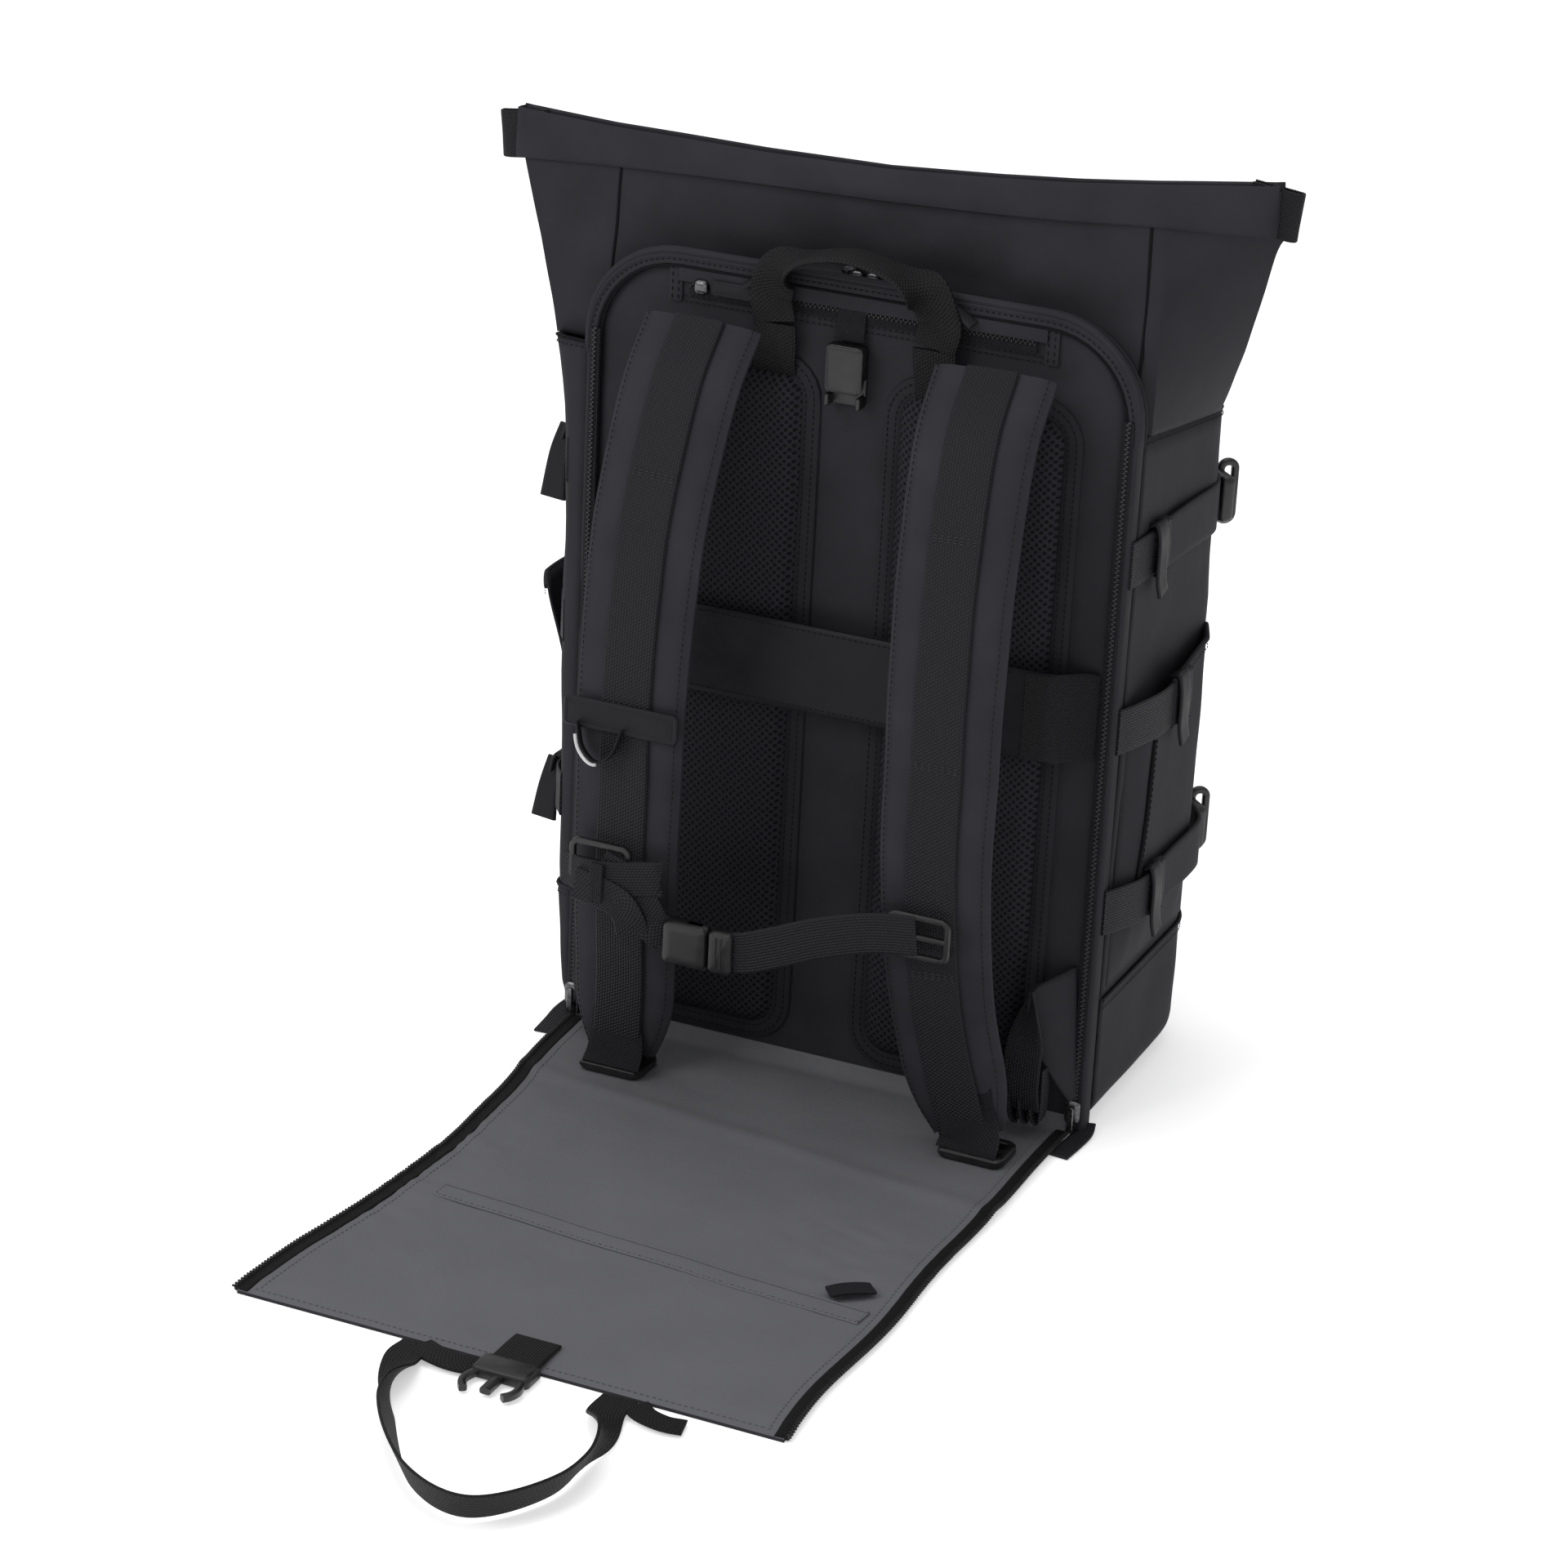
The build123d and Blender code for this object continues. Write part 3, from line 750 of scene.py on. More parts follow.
def rim_path(inset, y, top_extra=0.0, bottom=3.5, count=150):
    """A line along the panel's frame: up one side, round the two top corners, down the other."""
    half = HALF - inset
    top = RIM_HIGH[2] - inset + top_extra
    radius = CORNER + 4 - inset
    arc = np.linspace(0, math.pi / 2, 14)
    left = [(-half + radius - radius * math.cos(a), y, top - radius + radius * math.sin(a)) for a in arc]
    right = [(-px, py, pz) for px, py, pz in reversed(left)]
    return resample(np.array([(-half, y, bottom)] + left + right + [(half, y, bottom)]), count)


def make_rim():
    """The padded frame round the back panel, with piping, a groove cord and stitches."""
    centre = rim_path(3.9, -87)
    rim = sweep("rim", centre, Y_AXIS, oval(12, 7.6, 4, 24), SHELL, "shell", slot="shell_fabric")
    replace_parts(rim, "back_rim")
    cord("rim_piping", rim_path(1.1, -92.2), 1.5, SHELL, "shell", slot="shell_fabric")
    # A dark cord of painted shade in the groove between the rim and the panel.
    cord("rim_groove_shade", rim_path(6.6, -92.9), 0.9, SEAM_SHADE, "shell", slot="shell_fabric")
    cord("rim_front_piping", rim_path(0.6, -81.6), 1.3, SHELL, "shell", slot="shell_fabric")
    stitches("rim_stitches", [(rim_path(3.2, -93.1), -Y_AXIS)], "shell", slot="shell_fabric")


def make_zips():
    """The cover's two zips, the access pocket's zip and the laptop zip."""
    tapes = []
    for side in (-1, 1):
        x = side * 154.5
        tape = [(x, -93.4, 7), (x, -93.4, 150), (x, -93.4, 300), (x, -93.4, 411)]
        tapes.append(webbing(f"cover_zip_tape_{'left' if side < 0 else 'right'}", tape, X_AXIS, 6.0, "shell",
                             thick=0.9, material=FINE_WEBBING, slot="zip_tape"))
        line = smooth_path([(x, -94.2, 7), (x, -94.2, 411)], 200)
        zip_teeth(f"cover_zip_teeth_{'left' if side < 0 else 'right'}", line, -Y_AXIS, "shell", 1.7, 1.3,
                  WORN_COIL)
    tapes.append(webbing("access_zip_tape", [(-100, -91.4, 444), (0, -91.4, 444), (100, -91.4, 444)], Z_AXIS,
                         11,
                         "shell", thick=0.9, material=FINE_WEBBING, slot="zip_tape"))
    zip_teeth("access_zip_teeth", smooth_path([(-99, -92.2, 444), (99, -92.2, 444)], 120), -Y_AXIS, "shell")
    tapes.append(webbing("laptop_zip_tape", [(-104, -87, 461.0), (0, -87, 461.0), (104, -87, 461.0)], Y_AXIS,
                         9,
                         "shell", thick=0.9, material=TAPE, slot="zip_tape"))
    for side in (-1, 1):
        line = smooth_path([(side * 9, -87, 461.8), (side * 104, -87, 461.8)], 90)
        zip_teeth(f"laptop_zip_teeth_{'left' if side < 0 else 'right'}", line, Z_AXIS, "shell")
    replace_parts(tapes[0], "zip_tapes")
    cord("laptop_zip_lip", rim_path(0.8, -91.4, top_extra=2.4), 2.2, SHELL, "shell", slot="shell_fabric")
    lines = []
    flap = [(-106, -92.6, 449.6), (-50, -92.9, 449.6), (50, -92.9, 449.6), (106, -92.6, 449.6)]
    webbing("access_flap", flap, Z_AXIS, 9, "shell", thick=1.2, material=SHELL, slot="shell_fabric")
    for z in (434.0, 437.0):
        lines.append((smooth_path([(-104, -91.2, z), (104, -91.2, z)], 60), -Y_AXIS))
    for x in (-110, -106.5, 106.5, 110):
        lines.append((smooth_path([(x, -92.2, 434), (x, -92.2, 454)], 10), -Y_AXIS))
    stitches("access_stitches", lines, "shell", slot="shell_fabric")
    for x in (-108.3, 108.3):
        dome(f"access_end_{'left' if x < 0 else 'right'}", (x - 4, x + 4), (433, 456), 2,
             [(0, 0), (0.2, 0.7), (1.2, 1.0), (3, 1.1)], facing_back(-90.8), SHELL, "shell",
             slot="shell_fabric")


def make_neck():
    """The fabric tube between the bag's top seam and the collar."""
    base_keys = [(-154, -80.5), (154, -80.5), (160, -76), (160, 35), (145, 70), (110, 85),
                 (-110, 85), (-150, 70), (-168, 35), (-184, -76), (-154, -80.5)]
    mouth_keys = [(-152, -71), (151, -71), (158, -70.8), (213, -66), (198, -61.6), (150, -60.6),
                  (-150, -60.6), (-208, -62), (-213, -66), (-211, -69.6), (-152, -71)]
    counts = [60, 12, 26, 10, 10, 50, 10, 10, 26, 12]
    base, mouth = [], []
    for k, count in enumerate(counts):
        steps = np.linspace(0, 1, count, endpoint=False)[:, None]
        base.append(np.array(base_keys[k]) * (1 - steps) + np.array(base_keys[k + 1]) * steps)
        mouth.append(np.array(mouth_keys[k]) * (1 - steps) + np.array(mouth_keys[k + 1]) * steps)
    base, mouth = np.vstack(base), np.vstack(mouth)
    rows = 36
    points = np.zeros((rows, len(base), 3))
    for i, t in enumerate(np.linspace(0, 1, rows)):
        for j, ((bx, by), (mx, my)) in enumerate(zip(base, mouth)):
            low, high = seam_z(by) + 0.2, collar_z(mx) + 2.0
            x = bx + (mx - bx) * (t if bx > 0 else t**1.15)
            y = by + (my - by) * t
            z = low + (high - low) * t
            fade = math.sin(math.pi * min(1, t * 1.02)) ** 0.7
            crease = 2.4 * noise.noise(Vector((x / 45, y / 70, z / 30)))
            crease += 1.0 * noise.noise(Vector((x / 16, y / 30, z / 26 + 5)))
            push = crease * fade
            dent = 13 * math.exp(-((x / 100) ** 2)) * math.sin(math.pi * min(1, t * 1.1)) ** 1.2
            gusset = abs(bx) > 155
            if gusset:
                x += math.copysign(push * 0.5, x)
                if bx > 0:
                    x += 3.6 * math.sin(math.pi * t) * min(1, max(0, (by + 80) / 90))
            else:
                y += push if by > 0 else dent - push * 0.9
            points[i, j] = (x, y, z)
    neck = grid("neck", points, SHELL, "shell", wrap=True, thick=1.5, slot="shell_fabric")
    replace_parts(neck, "neck_back", "neck_front", "neck_left", "neck_right")
    # Dark cords of painted shade along the neck's seams.
    for j, label in ((0, "left"), (60, "right")):
        seam = points[:, j] + np.array([0, -1.3, 0])
        cord(f"neck_back_seam_{label}", seam[:-1], 1.0, SEAM_SHADE, "shell", slot="shell_fabric")
    for j, label in ((108, "right"), (158, "left")):
        seam = points[:, j] + np.array([0, 0.9, 0])
        cord(f"neck_front_seam_{label}", seam[:-5], 0.8, SEAM_SHADE, "shell", slot="shell_fabric")


def make_collar():
    """The band round the mouth: a flat loop, folded over at its top edge."""
    half = COLLAR_HALF
    plan_keys = [(11 - half, -71.2), (half - 11, -71.2), (half - 2, -70.6), (half - 0.5, -66),
                 (half - 2, -61.4),
                 (half - 11, -60.8), (11 - half, -60.8), (2 - half, -61.4), (0.5 - half, -66),
                 (2 - half, -70.6),
                 (11 - half, -71.2)]
    counts = [90, 4, 5, 5, 4, 90, 4, 5, 5, 4]
    plan = []
    for k, count in enumerate(counts):
        steps = np.linspace(0, 1, count, endpoint=False)[:, None]
        plan.append(np.array(plan_keys[k]) * (1 - steps) + np.array(plan_keys[k + 1]) * steps)
    plan = np.vstack(plan)
    profile = [(-0.6, 0.10), (0.3, 0.02), (0.7, 0.0), (0.95, 0.05), (1.0, 0.14), (0.97, 0.3), (0.8, 0.5),
               (0.6, 0.7),
               (0.42, 0.86), (0.2, 0.96), (-0.1, 1.0), (-0.5, 0.97), (-0.7, 0.85), (-0.7, 0.3)]
    points = np.zeros((len(profile), len(plan), 3))
    middle_y = (COLLAR_LOW[1] + COLLAR_HIGH[1]) / 2
    for j, (x, y) in enumerate(plan):
        side = -1 if y < middle_y else 1
        roll = 2.6 + 3.6 * max(0.0, 1 - (x / COLLAR_HALF) ** 2)
        for i, (out, up) in enumerate(profile):
            fold = 0.8 * noise.noise(Vector((x / 60, side, up * 1.5)))
            away = side * out * (roll if out > 0 else 2.6) if abs(x) < half - 2 else 0.0
            points[i, j] = (x + (0 if abs(x) < half - 2 else math.copysign(out * 0.6, x)), y + away + fold,
                            collar_z(x) + up * collar_band(x))
    collar = grid("collar", points, SHELL, "collar", wrap=True, thick=0.5, slot="shell_fabric")
    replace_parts(collar, "roll_collar")
    tabs = []
    for side, label in ((-1, "left"), (1, "right")):
        z = collar_z(side * COLLAR_HALF) + 12
        points = [(side * 200, -68.2, z + 1), (side * 216, -68.6, z - 1), (side * 225, -68.2, z - 2),
                  (side * 227.2, -66, z - 2),
                  (side * 225, -63.8, z - 2), (side * 216, -63.4, z - 1), (side * 200, -63.8, z + 1)]
        tabs.append(webbing(f"collar_tab_{label}", points, Z_AXIS + np.array([0.1 * side, 0, 0]), 26,
                            "collar",
                            thick=1.5, material=FINE_WEBBING, slot="webbing"))
    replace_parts(tabs[0], "collar_tabs")


# ---------------------------------------------------------------- back

def make_pad(label, box):
    low, high = box
    x, z = (low[0], high[0]), (low[2], high[2])
    deep = high[1] - low[1]
    layers = [(0.6, 0), (0, 0.8), (0.4, 1.9), (2.2, 2.6), (9.0, 2.8), (10.5, 2.0), (11.5, 2.8), (13, 5.2),
              (16, 7.4), (20, 8.5), (28, deep)]
    pad = dome(f"back_pad_{label}_cushion", x, z, 25, layers, facing_back(high[1]), PAD_EDGE, "shell",
               inner=PAD_MESH, from_layer=5, slot="pad_mesh")
    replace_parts(pad, f"back_pad_{label}")
    lines = []
    for inset in (3.4, 8.0):
        ring = round_rect(x, z, 25, inset)
        path = np.array([(a, high[1] - 2.9, b) for a, b in np.vstack([ring, ring[:1]])])
        lines.append((path, -Y_AXIS))
    stitches(f"back_pad_{label}_stitches", lines, "shell", slot="pad_mesh")


def make_trolley_sleeve():
    """A leather-like band across the pads, elastic at its ends."""
    low, high = SLEEVE_LOW[2], SLEEVE_HIGH[2]
    face = SLEEVE_LOW[1]
    outline = smooth_path([(-148, -92.2, 0), (-138, -98, 0), (-125, face + 0.6, 0), (-80, face + 0.4, 0),
                           (0, face + 0.4, 0),
                           (80, face + 0.4, 0), (125, face + 0.6, 0), (138, -98, 0), (148, -92.2, 0)], 90)
    rows = 16
    points = np.zeros((rows, len(outline), 3))
    for i, t in enumerate(np.linspace(0, 1, rows)):
        for j, (x, y, _) in enumerate(outline):
            sag = 1.2 * noise.noise(Vector((x / 40, t * 2, 3))) * math.sin(math.pi * t)
            points[i, j] = (x, y - 0.2 + abs(sag), low + (high - low) * t)
    band = grid("trolley_band", points, LEATHER, "shell", thick=1.8, slot="leather")
    band.modifiers["thickness"].offset = -1 if panel_faces_back(band) else 1
    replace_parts(band, "trolley_sleeve")
    lines = []
    for z in (low + 3, high - 3):
        lines.append((outline[14:76] + np.array([0, -0.4, z]), -Y_AXIS))
    for x in (-112, 112):
        lines.append((smooth_path([(x, face, low + 3), (x, face, high - 3)], 12), -Y_AXIS))
    stitches("trolley_stitches", lines, "shell", slot="leather")
    for side, label in ((-1, "left"), (1, "right")):
        points = [(side * 113, face - 0.6, 245), (side * 126, face - 0.2, 245), (side * 138, -98.9, 245),
                  (side * 149, -92.6, 245)]
        webbing(f"trolley_elastic_{label}", points, Z_AXIS, 49, "shell", thick=1.0, material=FINE_WEBBING,
                slot="webbing")


STRAP_ROUTE = [(84, -106, 428), (85, -133, 395), (88, -155, 330), (90, -164, 250), (91, -164, 170),
               (93.5, -157, 110)]
STRAP_TIPS = {1: [(100, -148, 60), (112, -143.5, 14)], -1: [(96, -148, 60), (99, -143.5, 14)]}


def make_shoulder_strap(side, label):
    """A padded strap with bound edges and a ladder of webbing down its outer face."""
    route = [(side * x, y, z) for x, y, z in STRAP_ROUTE + STRAP_TIPS[side]]
    path = smooth_path(route, 130)
    across, above = frames_along(path, X_AXIS)
    outward = above * np.sign(-above[60, 1])
    run = run_length(path) / run_length(path)[-1]
    ripple = np.array([1.5 * noise.noise(Vector((side * 3, s * 9, 0))) for s in run])
    soft = path + outward * ripple[:, None] * np.sin(math.pi * run)[:, None]
    taper = np.clip((run - 0.9) / 0.1, 0, 1)
    narrow = 1 - 0.3 * taper**2
    grow = np.stack([(68 - 8 * run) / 68 * narrow, 1 - 0.45 * taper**2], axis=1)
    body = sweep(f"strap_{label}_pad", soft, X_AXIS, padded_profile(68, 11), STRAP, "harness", grow,
                 slot="strap_fabric")
    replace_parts(body, f"shoulder_strap_{label}")
    lines = []
    for hand in (-1, 1):
        half = ((34 - 4 * run) * narrow - 3.2)[:, None]
        lines.append((soft + across * hand * half + outward * 4.4, outward))
    web_path = soft + outward * 7.0
    web = sweep(f"strap_{label}_ladder", web_path, X_AXIS, strip_profile(29, 2.2, 13), WEBBING, "harness",
                slot="webbing")
    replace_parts(web, f"strap_webbing_{label}")
    tacks = []
    for height in ((350, 231, 110) if side > 0 else (353, 230, 118)):
        k = int(np.argmin(np.abs(soft[:, 2] - height)))
        middle = web_path[k] + outward[k] * 1.0
        for row in (-1.5, 0, 1.5):
            start = middle - across[k] * 13 + np.cross(outward[k], across[k]) * row
            tacks.append((start + np.linspace(0, 1, 12)[:, None] * across[k] * 26, outward[k]))
    stitches(f"strap_{label}_stitches", lines, "harness", slot="strap_fabric")
    stitches(f"strap_{label}_bar_tacks", tacks, "harness", material=BAR_THREAD, radius=0.4, slot="webbing")
    tip = np.array(route[-1])
    shift = tip + np.array([-side * 1.5 if side < 0 else 5, 0, 0])
    tip_points = [tip + np.array([0, -6.5, 40]), tip + np.array([0, -7, 18]), shift + np.array([0, -11, 3]),
                  shift + np.array([0, -16.5, -5])]
    tape_path = smooth_path(tip_points, 60)
    wider = np.stack([np.linspace(0.8, 1.0, 60), np.ones(60)], axis=1)
    sweep(f"strap_{label}_tip_tape", tape_path, X_AXIS, strip_profile(35, 1.8), FINE_WEBBING, "harness",
          wider, slot="webbing")


def padded_profile(width, thick, count=14):
    """A foam strap's cross-section: full in the middle and pinched at its sewn edges."""
    half = width / 2
    inner = np.linspace(-half + 1.0, half - 1.0, count)
    rise = thick / 2 * (1 - np.clip((np.abs(inner) / half), 0, 1) ** 7) ** 0.9
    rise = np.maximum(rise, 1.6)
    top = [(x, h) for x, h in zip(inner, rise)]
    bottom = [(x, -h) for x, h in zip(inner[::-1], rise[::-1])]
    return np.array(top + [(half, 1.0), (half, -1.0)] + bottom + [(-half, -1.0), (-half, 1.0)])


def frame_bars(name, place, width, height, bar, thick, crossbars, material, body, radius=4.0, **more):
    """A moulded ring with crossbars. place turns (a, b, height) into a point; crossbars lie at given b."""
    half_w, half_h = width / 2 - bar / 2, height / 2 - bar / 2
    ring = round_rect((-half_w, half_w), (-half_h, half_h), radius)
    ring = np.vstack([ring, ring[:2]])
    paths = [ring]
    for b in crossbars:
        paths.append(np.stack([np.linspace(-half_w, half_w, 10), np.full(10, b)], axis=1))
    verts, faces = [], []
    profile = oval(bar, thick, 4, 12)
    for path in paths:
        tangent = unit(np.gradient(path, axis=0))
        normal = np.stack([-tangent[:, 1], tangent[:, 0]], axis=1)
        base = len(verts)
        for centre, side in zip(path, normal):
            for u, w in profile:
                verts.append(place(centre[0] + side[0] * u, centre[1] + side[1] * u, w))
        for i in range(len(path) - 1):
            for j in range(12):
                k = (j + 1) % 12
                faces.append((base + i * 12 + j, base + i * 12 + k, base + (i + 1) * 12 + k,
                              base + (i + 1) * 12 + j))
        faces.append(tuple(base + j for j in range(12))[::-1])
        faces.append(tuple(base + (len(path) - 1) * 12 + j for j in range(12)))
    return add_mesh(name, verts, faces, material, body, np.array(verts), **more)


def make_ladder_locks():
    made = []
    for label, x, y in (("left", -99, -146), ("right", 119, -147)):
        place = tilted(np.array([x, y, 5.8]), X_AXIS, np.array([0, 1.0, 0.0]))
        made.append(frame_bars(f"ladder_lock_{label}", place, 38, 30, 5.5, 5.2, [0.0], PLASTIC, "harness",
                               slot="buckle_plastic"))
        dome(f"ladder_lock_grip_{label}", (x - 18, x + 18), (y - 15, y - 8), 2.5,
             [(0, 0), (0, 2.0), (1.4, 3.2), (2.6, 3.4)], facing_up(5.8), PLASTIC, "harness",
             slot="buckle_plastic")
    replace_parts(made[0], "ladder_locks")


def tilted(origin, a_axis, b_axis):
    """Place for a plate lying in the plane of two axes; its height is along their cross product."""
    a_axis, b_axis = unit(np.asarray(a_axis, float)), unit(np.asarray(b_axis, float))
    up = unit(np.cross(a_axis, b_axis))
    return lambda a, b, height: tuple(origin + a_axis * a + b_axis * b + up * height)


def make_wings():
    """A doubled triangular gusset at each lower corner, which holds the folded spare webbing."""
    wings, hanks = [], []
    for side, label in ((-1, "left"), (1, "right")):
        rows = []
        for t in np.linspace(0, 1, 16):
            high = np.array((149, -92.5, 100)) * (1 - t) + np.array((131, -112, 90)) * t
            low = np.array((157, -92.5, 12)) * (1 - t) + np.array((131, -112, 62)) * t
            rows.append([low * (1 - u) + high * u for u in np.linspace(0, 1, 20)])
        points = np.array(rows)
        bow = np.sin(np.linspace(0, math.pi, 16))[:, None]
        points[..., 1] -= bow * (2.5 + 1.5 * np.sin(np.linspace(0, 5, 20))[None, :])
        points[..., 0] *= side
        wings.append(grid(f"corner_wing_{label}", points, SHELL, "shell", thick=2.4, slot="shell_fabric"))
        hem = points[-1] + np.array([0, -0.8, 0])
        cord(f"corner_wing_hem_{label}", hem, 1.6, SHELL, "shell", slot="shell_fabric")
        hang = smooth_path([(side * 133, -112, 92), (side * 132, -115, 76), (side * 131, -118, 54),
                            (side * 130, -118, 34),
                            (side * 130, -115, 20)], 80)
        turn = np.radians(np.interp(np.linspace(0, 1, 80), [0, 0.45, 1], [80, 12, 0]))
        across = np.stack([side * np.cos(turn), -np.sin(turn), np.zeros(80)], axis=1)
        hanks.append(sweep(f"adjuster_{label}", hang, across, strip_profile(23, 1.6, 13), WEBBING, "shell",
                           slot="webbing"))
        for k, x in enumerate((124, 130, 136)):
            fold = [(side * (x - 3), -111, 50), (side * (x - 1), -111, 30), (side * (x + 1), -111, 16),
                    (side * (x + 4), -110, 12.5), (side * (x + 5.5), -109, 20), (side * (x + 5), -108, 44)]
            webbing(f"adjuster_{label}_fold_{k}", fold, Y_AXIS, 15 - 2 * k, "shell", thick=1.5,
                    slot="webbing")
    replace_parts(wings[0], "corner_wings")
    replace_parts(hanks[0], "adjuster_webbing")


def make_strap_patch():
    low, high = span("strap_patch")
    patch = dome("patch", (low[0], high[0]), (low[2], high[2]), 3,
                 [(0, 0), (0, 1.1), (0.7, 1.8), (2, 1.8), (2.6, 1.5), (3.4, 1.8), (7, 1.9)],
                 facing_back(high[1]),
                 LEATHER, "harness", slot="leather")
    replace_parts(patch, "strap_patch")
    loop = [(-117, -175.4, 217), (-113, -177.4, 204), (-104, -178.2, 197), (-95, -177.6, 203),
            (-90, -175.6, 217)]
    webbing("patch_loop", loop, np.array([0.25, -1.0, 0.35]), 9, "harness", thick=1.0, material=FINE_WEBBING,
            slot="webbing")
    edge = smooth_path([(x, y - 4.9, z) for x, y, z in loop], 40)[4:22]
    cord("patch_loop_edge", edge, 0.9, REFLECTIVE, "harness")


def make_sternum():
    """The chest strap: buckle, webbing with its folded spare end, and the two sliders."""
    low, high = span("sternum_socket")
    centre_z = (low[2] + high[2]) / 2
    socket = dome("sternum_buckle_socket", (low[0], high[0] - 0.2), (centre_z - 12.8, centre_z + 12.8), 4,
                  [(1, 0), (0, 1.2), (0, 6.6), (1.2, 8.4), (3.4, 9.0), (6, 9.0)], facing_back(high[1]),
                  PLASTIC, "harness",
                  slot="buckle_plastic")
    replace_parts(socket, "sternum_socket")
    plug_high = span("sternum_plug")[1]
    plug = dome("sternum_buckle_plug", (high[0] + 0.3, plug_high[0]), (centre_z - 12.3, centre_z + 12.3), 3,
                [(1, 0), (0, 1.2), (0, 6.0), (1.2, 7.6), (3, 8.0)], facing_back(high[1] - 0.5), PLASTIC,
                "harness",
                slot="buckle_plastic")
    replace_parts(plug, "sternum_plug")
    for name in ("sternum_prong_upper", "sternum_prong_lower"):
        prong_low, prong_high = span(name)
        body = name.replace("sternum_", "")
        prong = dome(f"{name}_button", (prong_low[0], prong_high[0]), (prong_low[2], prong_high[2]), 2,
                     [(0.3, 0), (0, 0.5), (0, 3.8), (0.5, 4.4), (1.2, 4.4)], facing_back(prong_high[1]),
                     PLASTIC, body,
                     slot="buckle_plastic")
        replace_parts(prong, name)
    for k, x in enumerate((6, 9)):
        dome(f"sternum_buckle_ridge_{k}", (plug_high[0] - x - 1, plug_high[0] - x),
             (centre_z - 9, centre_z + 9), 0.5,
             [(0, 0), (0, 0.5), (0.3, 0.8)], facing_back(high[1] - 8.4), PLASTIC, "harness",
             slot="buckle_plastic")
    right = webbing("sternum_web_right", [(-21, -178, 103), (-8, -180.5, 107), (10, -181.8, 115),
                                          (30, -181.8, 124), (50, -181, 131),
                                           (66, -179.7, 135), (88, -178.6, 138)], Z_AXIS, 23, "harness",
                                           slot="webbing")
    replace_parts(right, "sternum_webbing_right")
    left = webbing("sternum_web_left", [(-57, -178.5, 104), (-66, -181, 112), (-77, -181.5, 130),
                                        (-98, -180, 138)], Z_AXIS, 21, "harness", slot="webbing")
    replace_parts(left, "sternum_webbing_left")
    webbing("sternum_spare_outer", [(-122, -176, 131), (-106, -181.6, 131), (-88, -182.6, 133),
                                    (-68, -182.0, 137), (-62, -180.3, 138),
                                      (-68, -178.6, 136), (-80, -178.8, 134)],
            Z_AXIS, 20, "harness", slot="webbing")
    webbing("sternum_spare_inner", [(-112, -182.4, 126), (-96, -183.9, 124), (-84, -184.1, 120),
                                    (-78, -183.8, 112), (-76, -183.0, 104)],
            np.array([0.35, 0, 1]), 19, "harness", slot="webbing")
    webbing("sternum_keeper", [(-98, -184.6, 141), (-98, -185.2, 131), (-98, -185.0, 119)], X_AXIS, 8,
            "harness", thick=1.4,
            material=FINE_WEBBING, slot="webbing")
    sliders = []
    for label, x, z in (("left", -99.5, 138), ("right", 88.5, 137)):
        place = tilted(np.array([x, -177.4, z]), X_AXIS, Z_AXIS)
        sliders.append(frame_bars(f"sternum_slider_{label}", place, 37, 26, 3.4, 3.6, [0.0], PLASTIC,
                                  "harness", slot="buckle_plastic"))
    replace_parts(sliders[0], "sternum_sliders")


def make_grab_handle():
    """A webbing arch, sewn flat at both feet and turned on edge along its middle."""
    half = [(46, -98.8, 434), (48, -99.8, 450), (37, -106, 468), (0, -109, 479)]
    route = half + [(-x, y, z) for x, y, z in reversed(half[:-1])]
    path = smooth_path(route, 120)
    run = run_length(path) / run_length(path)[-1]
    turn = np.radians([quarter_turns(t, 0.12, 0.38) for t in run])
    across = np.stack([np.cos(turn), np.sin(turn), np.zeros_like(turn)], axis=1)
    handle = sweep("top_handle", path, across, strip_profile(25, 2.8, 13), DARK_WEBBING, "handle",
                   slot="webbing")
    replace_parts(handle, "grab_handle")
    for side, label in ((-1, "left"), (1, "right")):
        foot = [(side * 46, -99.2, 433), (side * 46, -97.4, 424), (side * 47, -95, 412),
                (side * 47, -93, 404)]
        webbing(f"handle_foot_{label}", foot, X_AXIS, 25, "shell", material=DARK_WEBBING, slot="webbing")


def quarter_turns(t, start, end):
    """The twist in degrees: 0 at one foot, 90 along the middle, 180 at the other foot."""
    if t > 0.5:
        return 180 - quarter_turns(1 - t, start, end)
    share = min(max((t - start) / (end - start), 0), 1)
    return 90 * share * share * (3 - 2 * share)


